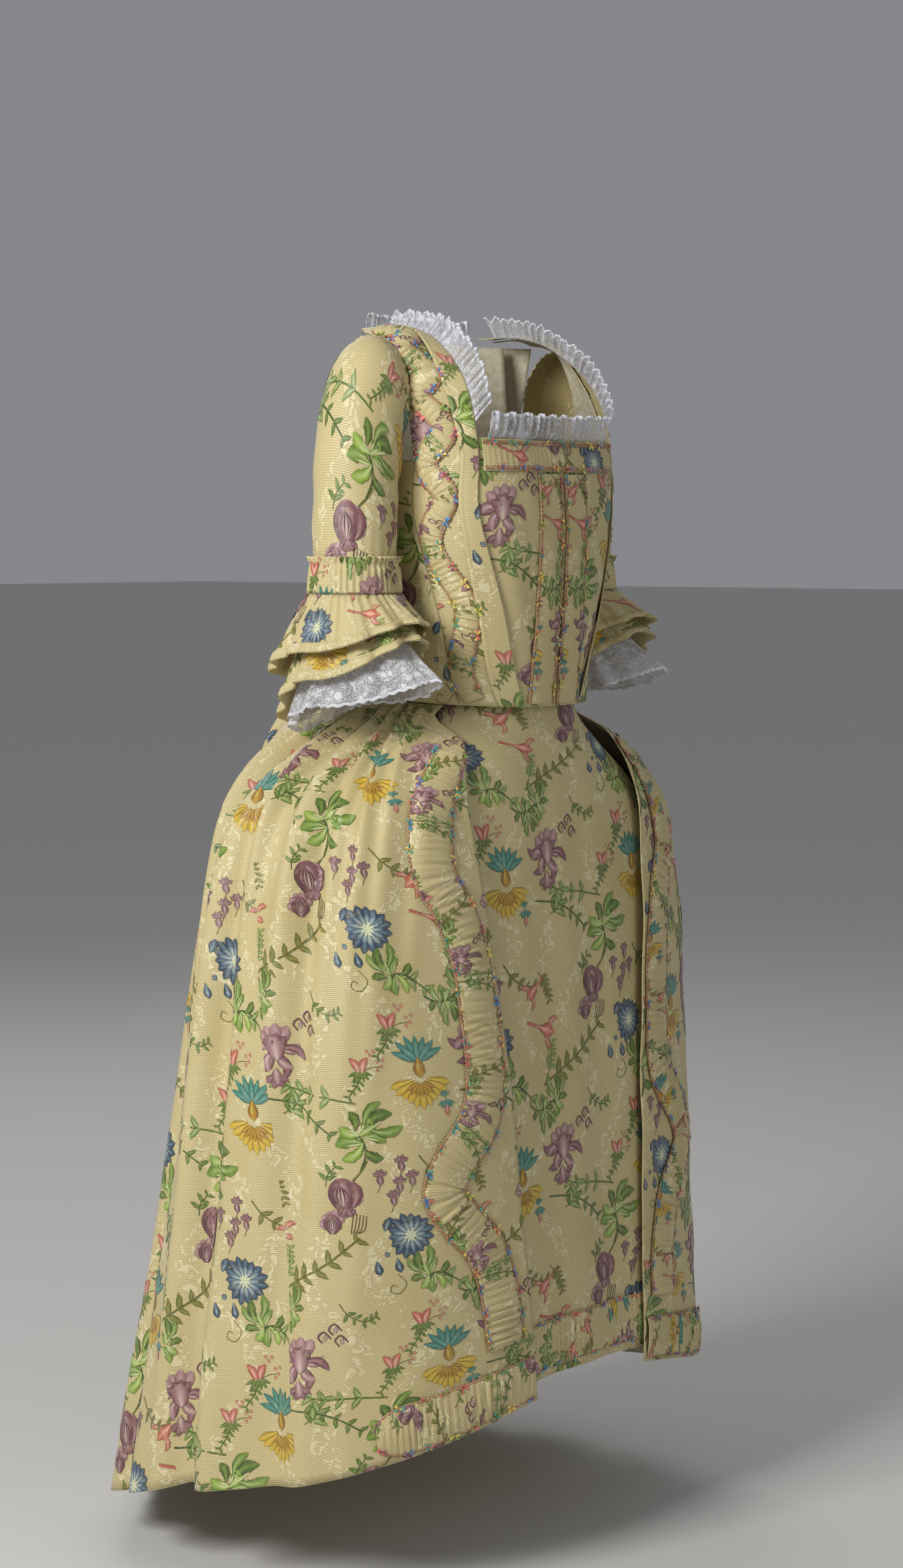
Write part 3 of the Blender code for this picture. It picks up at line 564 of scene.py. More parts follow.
def relief(tree, shader, height, distance, strength):
    bump = tree.nodes.new("ShaderNodeBump")
    bump.inputs["Distance"].default_value = distance
    bump.inputs["Strength"].default_value = strength
    tree.links.new(height, bump.inputs["Height"])
    tree.links.new(bump.outputs[0], shader.inputs["Normal"])


def ramp(tree, value, low, high):
    made = tree.nodes.new("ShaderNodeMapRange")
    made.interpolation_type = "SMOOTHSTEP"
    made.inputs["From Min"].default_value = low
    made.inputs["From Max"].default_value = high
    tree.links.new(value, made.inputs["Value"])
    return made.outputs[0]


TWILL_LINE = 0.0021         # from one line of the twill to the next
TWILL_WAVE = 0.0052         # width of one wave of those lines
RIBBON_BEND = 0.185         # height over which a satin ribbon bends once
RIBBON_SWAY = 0.026         # how far it bends to each side
RIBBON_GAP = 0.065          # half the distance from one ribbon to the next


def ground_weave(tree):
    """Height of the fine waved twill, and the mask of the satin ribbons, on the flat cut."""
    place, u, v = flat_uv(tree)
    rows = math(tree, "MULTIPLY", v, 2 * pi / TWILL_LINE)
    twill = math(tree, "SINE", math(tree, "MULTIPLY_ADD", wave_of(tree, u, TWILL_WAVE), 1.1, rows))
    run = math(tree, "MULTIPLY_ADD", wave_of(tree, v, RIBBON_BEND), RIBBON_SWAY, u)
    phase = math(tree, "PINGPONG", math(tree, "ADD", run, 0.035), RIBBON_GAP)
    edge = math(tree, "MULTIPLY_ADD", noise(tree, place, 60.0, 1.0), 0.020, 0.002)
    ribbon = math(tree, "SUBTRACT", edge, math(tree, "ABSOLUTE", math(tree, "SUBTRACT", phase, 0.03)))
    petals = ramp(tree, cells(tree, bent(tree, place, 70.0, 0.03), 150.0), 0.50, 0.32)
    return place, twill, math(tree, "MULTIPLY", ramp(tree, ribbon, -0.0006, 0.0010), petals)


def silk_material(name):
    """Straw silk: waved twill ground, satin ribbons of its own colour with a painted sheen that makes them
    lighter, and faint soiling.
    """
    colours = bpy.context.scene.robe_colours
    material, tree, shader = new_material(name, 0.42, colours.straw)
    place, twill, satin_sheen = ground_weave(tree)
    ground = blend_colour(tree, ramp(tree, twill, -1.0, 1.0), thread("B8A772"), tuple(colours.straw))
    # Painted sheen: the satin ribbons, of the ground's own colour, are painted lighter where satin would
    # shine.
    ground = blend_colour(tree, math(tree, "MULTIPLY", satin_sheen, 0.50), ground, tuple(colours.satin_sheen))
    soiled = ramp(tree, noise(tree, place, 9.0, 3.0), 0.45, 0.75)
    ground = blend_colour(tree, math(tree, "MULTIPLY", soiled, 0.28), ground, thread("B5A05A"))
    tree.links.new(ground, shader.inputs["Base Color"])
    tree.links.new(math(tree, "MULTIPLY_ADD", satin_sheen, -0.14, 0.50), shader.inputs["Roughness"])
    height = math(tree, "MULTIPLY_ADD", satin_sheen, 0.8, math(tree, "MULTIPLY", twill, 0.35))
    relief(tree, shader, height, 0.0005, 0.7)
    shader.inputs["Sheen Weight"].default_value = 0.12
    shader.inputs["Sheen Roughness"].default_value = 0.35
    shader.inputs["Specular IOR Level"].default_value = 0.45
    return material


def thread_material(name):
    """Brocaded threads: colour of the woven shape, with fine weft lines."""
    material, tree, shader = new_material(name, 0.40, (0.5, 0.5, 0.5))
    place = tree.nodes.new("ShaderNodeTexCoord").outputs["Object"]
    lines = tree.nodes.new("ShaderNodeTexWave")
    lines.wave_type = "BANDS"
    lines.bands_direction = "Z"
    lines.inputs["Scale"].default_value = 300.0
    lines.inputs["Distortion"].default_value = 0.6
    tree.links.new(place, lines.inputs["Vector"])
    darker = blend_colour(tree, math(tree, "MULTIPLY", lines.outputs["Fac"], 0.18),
                          thread_colour(tree), (0.30, 0.25, 0.10))
    worn = ramp(tree, noise(tree, place, 160.0, 2.0), 0.50, 0.72)
    tree.links.new(blend_colour(tree, math(tree, "MULTIPLY", worn, 0.16), darker, thread("D8C890")),
                   shader.inputs["Base Color"])
    relief(tree, shader, lines.outputs["Fac"], 0.0002, 0.5)
    shader.inputs["Sheen Weight"].default_value = 0.15
    return material


def gimp_material(name):
    """Gimp: thin silk-wrapped cords looped over a core."""
    colours = bpy.context.scene.robe_colours
    material, tree, shader = new_material(name, 0.55, colours.gimp)
    place = tree.nodes.new("ShaderNodeTexCoord").outputs["Object"]
    patches = ramp(tree, noise(tree, place, 55.0, 1.0), 0.42, 0.60)
    strands = noise(tree, place, 900.0, 1.0)
    colour = blend_colour(tree, patches, tuple(colours.gimp), thread("C9AE84"))
    colour = blend_colour(tree, ramp(tree, strands, 0.40, 0.62), thread("8A6248"), colour)
    tree.links.new(colour, shader.inputs["Base Color"])
    relief(tree, shader, strands, 0.0005, 0.8)
    return material


def tuft_material(name):
    material, tree, shader = new_material(name, 0.5, (0.5, 0.5, 0.5))
    tree.links.new(thread_colour(tree), shader.inputs["Base Color"])
    shader.inputs["Sheen Weight"].default_value = 0.3
    return material


LINEN_THREAD = 0.0009       # from one thread of the lining to the next


def linen_material(name):
    colours = bpy.context.scene.robe_colours
    material, tree, shader = new_material(name, 0.85, colours.linen)
    place, u, v = flat_uv(tree)
    weave = math(tree, "MULTIPLY", wave_of(tree, u, LINEN_THREAD), wave_of(tree, v, LINEN_THREAD))
    slub = ramp(tree, noise(tree, place, 120.0, 2.0), 0.4, 0.7)
    tree.links.new(blend_colour(tree, slub, tuple(colours.linen), thread("C6BA9A")),
                   shader.inputs["Base Color"])
    relief(tree, shader, weave, 0.0002, 0.6)
    return material


def lace_material(name):
    """Lace: open net with solid flowers and a thick scalloped edge, open between its threads."""
    material, tree, shader = new_material(name, 0.75, bpy.context.scene.robe_colours.lace)
    place, _, v = flat_uv(tree)
    net = ramp(tree, cells(tree, place, 460.0, "DISTANCE_TO_EDGE"), 0.17, 0.09)
    flowers = cells(tree, bent(tree, place, 110.0, 0.012), 95.0)
    solid = ramp(tree, flowers, 0.40, 0.33)
    outline = ramp(tree, math(tree, "ABSOLUTE", math(tree, "SUBTRACT", flowers, 0.50)), 0.05, 0.02)
    border = ramp(tree, v, 0.0042, 0.0030)
    cover = math(tree, "MAXIMUM", math(tree, "MAXIMUM", math(tree, "MULTIPLY", net, 0.42),
                                       math(tree, "MULTIPLY", solid, 0.80)),
                 math(tree, "MAXIMUM", math(tree, "MULTIPLY", outline, 0.66), border))
    tree.links.new(math(tree, "MULTIPLY_ADD", cover, 0.90, 0.06), shader.inputs["Alpha"])
    relief(tree, shader, cover, 0.0006, 0.7)
    return material


MAKERS = {
    "silk": silk_material, "ruched_silk": silk_material, "brocaded_threads": thread_material,
    "gimp": gimp_material, "fly_tufts": tuft_material, "woven_linen": linen_material,
    "worked_lace": lace_material,
}
SLOTS = {"silk": "brocade", "ruched_silk": "brocade_trim", "worked_lace": "lace", "woven_linen": "linen"}


def finish_of(finish):
    """The material of one of the robe's finishes, made once."""
    return bpy.data.materials.get(finish) or MAKERS[finish](finish)


# Making pieces

def add_grids(bm, grids, colours=None):
    """Add grids of points to a bmesh, and colour their vertices.

    Grids of one width are made as one long grid, which is then cut apart.
    """
    layer = bm.verts.layers.float_color.get("thread")
    cuts = []
    for columns in sorted({grid.shape[1] for grid in grids}):
        chosen = [k for k, grid in enumerate(grids) if grid.shape[1] == columns]
        places = np.concatenate([grids[k] for k in chosen])
        first_face = len(bm.faces)
        made = bmesh.ops.create_grid(
            bm, x_segments=columns - 1, y_segments=len(places) - 1, size=1)["verts"]
        for vertex, place in zip(made, places.reshape(-1, 3)):
            vertex.co = place
        if colours is not None:
            tints = np.concatenate([colours[k] for k in chosen]).reshape(-1, 3)
            for vertex, tint in zip(made, tints):
                vertex[layer] = (*tint, 1.0)
        row = 0
        for k in chosen[:-1]:
            row += len(grids[k])
            cuts.extend(range(first_face + (row - 1) * (columns - 1), first_face + row * (columns - 1)))
    bm.faces.ensure_lookup_table()
    bmesh.ops.delete(bm, geom=[bm.faces[i] for i in cuts], context="FACES")


def add_cloth(bm, cloth, edge_up=False):
    """Add a cloth's grid with its flat places as UVs; edge_up measures them from its top edge."""
    add_grids(bm, [cloth.points])
    u, v = cloth.flat()
    if edge_up:
        v = cloth.height - v
    flat = np.stack([u, v], axis=-1).reshape(-1, 2)
    layer = bm.loops.layers.uv.new("flat_cut")
    bm.verts.index_update()
    for face in bm.faces:
        for loop in face.loops:
            loop[layer].uv = flat[loop.vert.index]


def finish_piece(bm, name, finishes, record_slot):
    mesh = bpy.data.meshes.new(name)
    bm.to_mesh(mesh)
    bm.free()
    mesh.shade_smooth()
    piece = bpy.data.objects.new(name, mesh)
    bpy.context.scene.collection.objects.link(piece)
    for finish in finishes:
        piece.data.materials.append(finish_of(finish))
    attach(piece, "root")
    return piece


def sew(name, cloth, finish="silk", held="draped", rests_on=(), closed=False, wall=None, outward=False,
        lining=None, edge_up=False, with_pieces=()):
    """Make the shown piece of cloth on the place of the CAD node of its name."""
    bm = bmesh.new()
    add_cloth(bm, cloth, edge_up)
    if closed:
        bmesh.ops.remove_doubles(bm, verts=bm.verts, dist=0.00001)
    piece = finish_piece(bm, name + "_cloth", [finish] + ([lining] if lining else []), SLOTS[finish])
    sizes = bpy.context.scene.robe_sizes
    shell = piece.modifiers.new("wall", "SOLIDIFY")
    shell.thickness = wall or (sizes.lace_wall if finish == "worked_lace" else sizes.silk_wall)
    shell.offset = 1 if outward else -1
    if lining:
        shell.material_offset = 1
    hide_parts(name)
    return piece


def sew_brocaded(name, cloth, weave, **seams):
    """Make a shown piece of the brocade with its woven flowers."""
    return sew(name, cloth, with_pieces=[brocade(name + "_flowers", cloth, **weave)], **seams)


def lengths(path):
    """Distance of each point of a path from its start."""
    return np.concatenate([[0], np.cumsum(np.linalg.norm(np.diff(path, axis=0), axis=1))])


def sideways(path):
    """Directions one unit long to the right of a flat path."""
    run = np.gradient(path, axis=0)
    run /= np.maximum(np.linalg.norm(run, axis=1, keepdims=True), 1e-9)
    return np.stack([run[:, 1], -run[:, 0]], axis=1)


def strip_on(cloth, path, half, columns, puff, gather=0.0, period=0.008, lift=0.0008, seed=1, tilt=0.0):
    """A strip laid on cloth along flat places: gathered, and rounded up between its edges."""
    path = np.asarray(path, float)
    aside = sideways(path)
    across = np.linspace(-1, 1, columns)
    half = np.broadcast_to(half, len(path))
    places = path[:, None] + aside[:, None] * (across[None, :] * half[:, None])[..., None]
    length = lengths(path)
    dice = np.random.RandomState(seed)
    knots = np.linspace(0, length[-1], max(4, int(length[-1] / period / 2)))
    speed = np.interp(length, knots, dice.uniform(0.65, 1.4, len(knots)))
    phase = np.cumsum(speed * np.gradient(length)) * 2 * pi / period
    strength = np.interp(length, knots, dice.uniform(0.25, 1.2, len(knots)))
    lean = np.interp(length, knots, dice.uniform(-1.6, 1.6, len(knots)))
    crown = 1 - across[None, :] ** 2
    coarse = np.cos(phase[:, None] + (tilt + lean[:, None]) * across[None, :])
    fine = np.cos(1.73 * phase[:, None] - 2.2 * lean[:, None] * across[None, :] + 2.5 * across[None, :] ** 2)
    ripple = (0.62 * coarse + 0.5 * fine) * strength[:, None]
    heights = lift + crown * (puff + gather * ripple) + 0.3 * gather * (1 + ripple) * (1 - crown)
    return Cloth(cloth.place(places[..., 0], places[..., 1], heights))


TRIM_WALL = 0.0006


def lay_trim(name, strip, gimp, rests_on, held="gathered", **weave):
    """A strip of the brocade laid on another piece, with gimp along its edges."""
    lift = TRIM_WALL + bpy.context.scene.robe_sizes.flower_lift
    flowers = brocade(name + "_flowers", strip, slot="brocade_trim", lift=lift, **weave)
    return sew(name, strip, "ruched_silk", held, rests_on, outward=True, wall=TRIM_WALL,
               with_pieces=[*gimp, flowers])


def along(path, step):
    """The same flat path with points a step apart."""
    path = np.asarray(path, float)
    length = lengths(path)
    count = max(3, int(length[-1] / step))
    spots = np.linspace(0, length[-1], count)
    return np.stack([np.interp(spots, length, path[:, 0]), np.interp(spots, length, path[:, 1])], axis=1)


BRAID_STEP = 0.00125
TUFT_STEP = 0.002
BRAID_LOOP = 0.005          # length of one loop of the braid
TUFT_INKS = [[thread(a), thread(b)] for a, b in (
    ("2A5C9C", "6E9CC8"), ("1E7A6A", "58B0A0"), ("B83C38", "E08070"), ("5A7A22", "90A848"),
    ("6A3848", "A06A78"), ("D8B02C", "EED878"))]


def gimp_on(name, cloth, paths, lift, seed):
    """Gimp braid along flat paths of a cloth, and the fly tufts knotted on it."""
    sizes = bpy.context.scene.robe_sizes
    bm = bmesh.new()
    dice = np.random.RandomState(seed)
    braids, blades, tints = [], [], []
    for path in paths:
        fine = along(path, BRAID_STEP)
        spots = np.arange(len(fine)) * BRAID_STEP
        half = sizes.gimp_width / 2 * (1 + 0.22 * np.cos(2 * pi * spots / BRAID_LOOP))
        braids.append(strip_on(cloth, fine, half, 5, 0.0011, 0.0002, BRAID_LOOP, lift, seed).points)
        coarse = along(path, TUFT_STEP)
        spot = dice.uniform(0.3, 0.9) * sizes.tuft_gap
        while spot < len(coarse) * TUFT_STEP:
            i = min(int(spot / TUFT_STEP), len(coarse) - 2)
            add_tuft(blades, tints, cloth, coarse[i], coarse[i + 1] - coarse[i], lift, dice)
            spot += sizes.tuft_gap * dice.uniform(0.75, 1.25)
    add_grids(bm, braids)
    braid = finish_piece(bm, name, ["gimp"], "brocade_trim")
    bm = bmesh.new()
    bm.verts.layers.float_color.new("thread")
    add_grids(bm, blades, tints)
    return [braid, finish_piece(bm, name + "_tufts", ["fly_tufts"], "brocade_trim")]


def add_tuft(blades, tints, cloth, spot, run, lift, dice):
    """A fly tuft: a few short floss blades fanned out from a knot."""
    knot = cloth.place(spot[:1], spot[1:], lift + 0.0012)[0]
    ahead = cloth.place(spot[:1] + run[:1], spot[1:] + run[1:], lift + 0.0012)[0] - knot
    ahead /= max(np.linalg.norm(ahead), 1e-9)
    out = cloth.place(spot[:1], spot[1:], 1.0)[0] - cloth.place(spot[:1], spot[1:], 0.0)[0]
    aside = np.cross(out, ahead)
    inks = [TUFT_INKS[dice.randint(len(TUFT_INKS))] for _ in range(2)]
    for k in range(6):
        turn = dice.uniform(-0.6, 0.6) + (0 if k < 3 else pi) + (k % 3 - 1) * 0.55
        way = ahead * cos(turn) + aside * sin(turn)
        wide = np.cross(out, way) * 0.0009
        length = dice.uniform(0.0042, 0.0068)
        ink = np.array(inks[k % 2])
        rows, row_tints = [], []
        for share in (0.0, 0.55, 1.0):
            middle = knot + way * length * share + out * 0.0016 * sin(share * 2.4)
            spread = wide * (0.5 + share)
            rows.append([middle + spread, middle - spread])
            row_tints.append([ink[0] * (1 - share) + ink[1] * share] * 2)
        blades.append(np.array(rows))
        tints.append(np.array(row_tints))


# Woven flowers of the brocade, each shape as a small grid over the flat cut

Ink = namedtuple("Ink", "edge body vein tip")


def inks(edge, body, vein, tip):
    return Ink(*(np.array(thread(code)) for code in (edge, body, vein, tip)))


LEAF = inks("2F4C10", "5C8022", "CCD894", "7E9C34")
LEAF_DARK = inks("223C0E", "3F6018", "98AE54", "587C28")
LIME = inks("4A701A", "94B044", "E4E8B0", "7C9E30")
OLIVE = inks("4A4E18", "6A6C24", "9C984A", "767A2C")
TEAL = inks("0C4A46", "187068", "74B8A4", "2E8A7A")
PLUM = inks("451C2A", "744050", "C09898", "8C5A64")
MAUVE = inks("643240", "A0747A", "E6D4C6", "B48E90")
DEEP_PLUM = inks("3C1824", "4C2030", "5C303C", "7C5058")
NAVY = inks("12233C", "2A4A66", "9CB8BC", "1A3450")
SKY = inks("2C5270", "648A9C", "D4DAC2", "24466A")
GOLD = inks("64480C", "C69C1A", "E8D468", "D8B83A")
AMBER = inks("5C3A08", "A4720C", "DCB030", "B8861C")
CORAL = inks("9C4438", "C66C5C", "EEC8B0", "B85848")
PINK = inks("BC6052", "E69C88", "F6D8C8", "D8826E")
BROWN = inks("3A2C1A", "4E3C22", "645232", "4E3C22")
LEAF_VEIN = inks("B4C07A", "CCD498", "CCD498", "CCD498")
FLOWER_HEART = inks("B4C4A0", "D4D8B0", "E4E0BC", "E4E0BC")
NARROW_BLADE = 0.0105       # narrower blades have a vein and two edges only
BLADE_ROW = 0.0062          # longest row of a blade


def toward(turn):
    """Direction one unit long at a turn in radians from the right."""
    return np.array([cos(turn), sin(turn)])


class Loom:
    """Collects the woven shapes of one repeat. Places are in metres, x across and y up."""

    def __init__(self):
        self.shapes = []

    def blade(self, base, tip, width, ink, bend=0.0, widest=0.5, teeth=0, bite=0.25, rows=3, order=0,
              blunt=0.08):
        """A leaf or petal from its base to its tip, bowed sideways by bend of its length."""
        base, tip = np.array(base, float), np.array(tip, float)
        run = tip - base
        aside = np.array([run[1], -run[0]])
        rows = max(rows, int(np.hypot(*run) / BLADE_ROW))
        s = np.linspace(0, 1, rows + 1)
        middle = base + run * s[:, None] + aside * (bend * np.sin(pi * s))[:, None]
        right = sideways(middle)
        swell = np.sin(pi * np.minimum(s, 1) ** (log(0.5) / log(widest))) ** 0.75
        half = width / 2 * (blunt + (1 - blunt) * swell)
        if teeth:
            half = half * (1 - bite * np.abs((s * teeth) % 1.0))
        across = np.array([-1, -0.5, 0, 0.5, 1] if width > NARROW_BLADE else [-1, 0, 1])
        places = middle[:, None] + right[:, None] * (across[None, :] * half[:, None])[..., None]
        side = np.abs(across)[None, :, None]
        vein = (1 - side * 2).clip(0) * (0.75 * (1 - s[:, None, None] ** 2))
        body = ink.vein * vein + ink.body * (1 - vein) * (side <= 0.5) + ink.edge * (side > 0.5)
        to_tip = 0.55 * s[:, None, None] ** 2
        tints = body * (1 - to_tip) + ink.tip * to_tip
        self.shapes.append((places, np.broadcast_to(tints, (*places.shape[:2], 3)), order))

    def stem(self, points, width, ink=OLIVE, order=0):
        """A thin stalk along a smooth line through points."""
        count = (len(points) - 1) * 4
        middle = np.array([smooth(points, k * (len(points) - 1) / count) for k in range(count + 1)])
        right = sideways(middle) * width / 2
        places = np.stack([middle - right, middle + right], axis=1)
        tints = np.broadcast_to(np.stack([ink.edge, ink.body]), (*places.shape[:2], 3))
        self.shapes.append((places, tints, order))

    def fan(self, centre, radius, width, ink, start, end, count, inner=0.0, order=0, **shape):
        """Petals or leaves spread round a centre; angles in degrees from the right."""
        for k in range(count):
            turn = radians(start + (end - start) * (k + 0.5) / count)
            reach = radius * (1 + 0.08 * cos(5 * k))
            way = toward(turn)
            self.blade(np.array(centre) + way * inner, np.array(centre) + way * reach, width, ink,
                       order=order + k % 2, **shape)

    def spray(self, points, leaves, size, ink, width=0.0011):
        """A stalk with pairs of small leaves."""
        self.stem(points, width, ink)
        last = len(points) - 1
        for k in range(leaves):
            at = last * (0.25 + 0.7 * k / max(leaves - 1, 1))
            here, ahead = smooth(points, at), smooth(points, min(at + 0.1, last)) - smooth(points, at - 0.1)
            turn = np.arctan2(ahead[1], ahead[0])
            for side in (-1, 1):
                lean = turn + side * 0.95
                reach = size * (1.1 - 0.35 * k / leaves) * (1 if (k + side) % 3 else 0.8)
                self.blade(here, here + reach * toward(lean), reach * 0.40, ink,
                           bend=0.1 * side, widest=0.45)


def peony(loom, x, y, size):
    """A double purple peony with a smaller bloom below it and florets beside it."""
    for k, (dx, dy, scale) in enumerate(((0.55, 0.15, 0.62), (0.30, 0.50, 0.62), (0.62, -0.20, 0.5),
                                         (-0.10, 0.62, 0.6), (-0.45, 0.35, 0.55))):
        top = (x + dx * size * 1.45, y + dy * size * 1.35)
        loom.blade((x + dx * size * 0.1, y + dy * size * 0.1 - size * 0.3), top, size * scale * 1.5, MAUVE,
                   widest=0.66, order=k, blunt=0.3)
    loom.blade((x - size * 0.1, y - size * 0.95), (x - size * 0.15, y + size * 0.8), size * 1.5, PLUM,
               widest=0.55, order=6, blunt=0.35, rows=8)
    loom.blade((x - size * 0.1, y - size * 0.7), (x - size * 0.22, y + size * 0.55), size * 0.95, MAUVE,
               widest=0.58, order=8, blunt=0.4, rows=8)
    loom.blade((x + size * 0.35, y - size * 0.7), (x + size * 0.45, y + size * 0.6), size * 0.7, PLUM,
               widest=0.6, order=7, blunt=0.3, bend=0.15)
    loom.fan((x, y - size * 0.75), size * 0.55, size * 0.36, PLUM, 200, 340, 5, order=9, widest=0.6, rows=4)
    low = (x - size * 0.75, y - size * 1.55)
    loom.fan(low, size * 0.72, size * 0.62, MAUVE, 20, 200, 5, order=4, widest=0.62, blunt=0.3)
    loom.blade((low[0] - size * 0.1, low[1] - size * 0.55), (low[0], low[1] + size * 0.5), size * 1.0, PLUM,
               widest=0.5, order=6, blunt=0.3)
    loom.blade((low[0] - size * 0.1, low[1] - size * 0.45), (low[0], low[1] + size * 0.35), size * 0.6,
               MAUVE, widest=0.5, order=8, blunt=0.4)
    for k, bend in enumerate((-0.36, -0.20, -0.05, 0.12, 0.28)):
        loom.blade((x - size * 0.12, y - size * 0.78), (x - size * 0.20, y + size * (0.62 - 0.05 * k)),
                   size * 0.10, DEEP_PLUM, bend=bend, widest=0.7, order=10)
        loom.blade((low[0] - size * 0.1, low[1] - size * 0.42), (low[0], low[1] + size * 0.36),
                   size * 0.07, DEEP_PLUM, bend=bend, widest=0.7, order=10)
    for k in range(5):
        start = (x + size * (0.35 + 0.16 * k), y - size * (1.05 + 0.05 * k))
        loom.stem([start, (start[0] - size * 0.16, start[1] - size * 0.7),
                   (x + size * 0.10 + size * 0.10 * k, y - size * 2.15)], 0.0010, BROWN)
    for dx, dy in ((1.9, 0.7), (3.1, 1.35), (2.5, -0.45), (3.6, 0.5), (2.9, 0.25)):
        floret(loom, x + dx * size, y + dy * size, size * 0.38)
    loom.spray([(x - size * 0.95, y + size * 0.4), (x - size * 0.8, y + size * 1.0),
                (x - size * 0.35, y + size * 1.45)], 3, size * 0.55, LEAF_DARK)


def floret(loom, x, y, size):
    loom.fan((x, y + size * 0.2), size * 1.15, size * 0.62, PLUM, 10, 170, 4, order=1, widest=0.65, rows=3)
    loom.blade((x, y - size * 1.1), (x, y + size * 0.5), size * 1.0, PLUM, widest=0.5, rows=4, order=4)
    loom.blade((x, y - size * 0.7), (x, y + size * 0.2), size * 0.45, MAUVE, widest=0.5, rows=3, order=5)
    loom.stem([(x, y - size), (x - size * 0.5, y - size * 2.0)], 0.0008)


def cornflower(loom, x, y, size):
    """A blue cornflower over two drops and a tendril."""
    loom.fan((x, y), size * 1.08, size * 0.42, NAVY, 0, 360, 15, inner=size * 0.22, widest=0.72,
             teeth=2, bite=0.22, rows=5, order=0)
    loom.fan((x, y), size * 0.78, size * 0.26, SKY, 12, 372, 13, inner=size * 0.16, widest=0.6, rows=4,
             order=2)
    loom.fan((x, y), size * 0.34, size * 0.14, FLOWER_HEART, 0, 360, 8, rows=3, order=4)
    loom.blade((x - size * 1.18, y + size * 0.35), (x - size * 0.82, y + size * 0.95), size * 0.42, NAVY,
               order=5)
    for dx in (-1.55, -0.62):
        loom.blade((x + dx * size - size * 0.1, y - size * 1.02), (x + dx * size, y - size * 1.72),
                   size * 0.40, NAVY, widest=0.66, rows=5, order=1, blunt=0.12)
        loom.blade((x + dx * size - size * 0.05, y - size * 1.35), (x + dx * size, y - size * 1.62),
                   size * 0.17, SKY, rows=3, order=3)
    loom.fan((x - size * 1.15, y - size * 0.78), size * 0.14, size * 0.16, NAVY, 0, 360, 4, rows=3)
    loom.stem([(x - size * 0.75, y - size * 1.8), (x - size * 0.4, y - size * 2.3),
               (x - size * 0.75, y - size * 2.75), (x - size * 1.15, y - size * 2.6),
               (x - size * 1.05, y - size * 2.3), (x - size * 0.85, y - size * 2.4)], 0.0009)


def fan_flower(loom, x, y, size):
    """A yellow flower fanned out under a cap of teal leaves, with a gold heart."""
    loom.fan((x, y + size * 0.42), size * 1.12, size * 0.34, GOLD, 188, 352, 11, inner=size * 0.28,
             widest=0.62, rows=5, order=0, teeth=2, bite=0.18)
    loom.fan((x, y + size * 0.30), size * 0.66, size * 0.18, AMBER, 200, 340, 7, inner=size * 0.12,
             rows=4, order=2)
    loom.fan((x, y + size * 1.02), size * 1.0, size * 0.30, TEAL, 12, 168, 7, widest=0.45, teeth=3,
             bite=0.20, rows=6, order=2)
    loom.blade((x, y + size * 1.15), (x, y + size * 0.42), size * 0.46, AMBER, widest=0.6, order=5, rows=5)
    loom.blade((x - size * 0.03, y + size * 0.98), (x - size * 0.03, y + size * 0.6), size * 0.2, GOLD,
               order=6, rows=3)


def teal_sprig(loom, x, y, size):
    loom.stem([(x - size * 0.6, y + size * 1.6), (x, y + size * 0.9), (x, y)], 0.0009, TEAL)
    loom.fan((x, y + size * 0.75), size * 0.85, size * 0.28, TEAL, 190, 350, 6, rows=4, order=1)
    loom.fan((x - size * 0.1, y + size * 1.15), size * 0.6, size * 0.22, TEAL, 10, 175, 4, rows=3, order=1)
    loom.blade((x, y + size * 0.35), (x, y - size * 0.7), size * 0.46, CORAL, order=4, rows=5)
    loom.blade((x, y + size * 0.1), (x, y - size * 0.45), size * 0.18, PINK, order=5, rows=3)


def buds(loom, x, y, size):
    """A pair of pink buds on a leafy sprig, with dots beside them."""
    for side, lean in ((-1, 118), (1, 62)):
        way = toward(radians(lean))
        tip = np.array([x, y]) + way * size * 1.15 + np.array([side * size * 0.1, 0])
        loom.blade((x + side * size * 0.12, y - size * 0.1), tip, size * 0.62, CORAL, bend=-0.12 * side,
                   widest=0.5, order=2, blunt=0.2)
        loom.blade((x + side * size * 0.16, y + size * 0.1), tip - way * size * 0.25, size * 0.28, PINK,
                   bend=-0.12 * side, order=4, rows=4)
    loom.fan((x, y + size * 0.05), size * 0.9, size * 0.26, LEAF_DARK, 190, 350, 6, rows=4, order=1,
             teeth=2, bite=0.2)
    for k, (dx, dy) in enumerate(((1.35, 0.65), (1.6, 0.3), (1.3, 0.05), (1.75, 0.75), (0.9, 1.2),
                                  (1.15, 1.45), (0.7, 1.5))):
        dot = (x + dx * size, y + dy * size)
        loom.blade((dot[0], dot[1] - size * 0.13), (dot[0], dot[1] + size * 0.13), size * 0.24, CORAL,
                   rows=3, order=k % 2, blunt=0.4)
    loom.stem([(x + size * 0.2, y), (x + size * 0.8, y + size * 0.25), (x + size * 1.5, y + size * 0.3)],
              0.0008)
    loom.spray([(x, y - size * 0.2), (x - size * 0.35, y - size * 1.0), (x - size * 1.1, y - size * 1.9)],
               4, size * 0.55, LEAF_DARK)


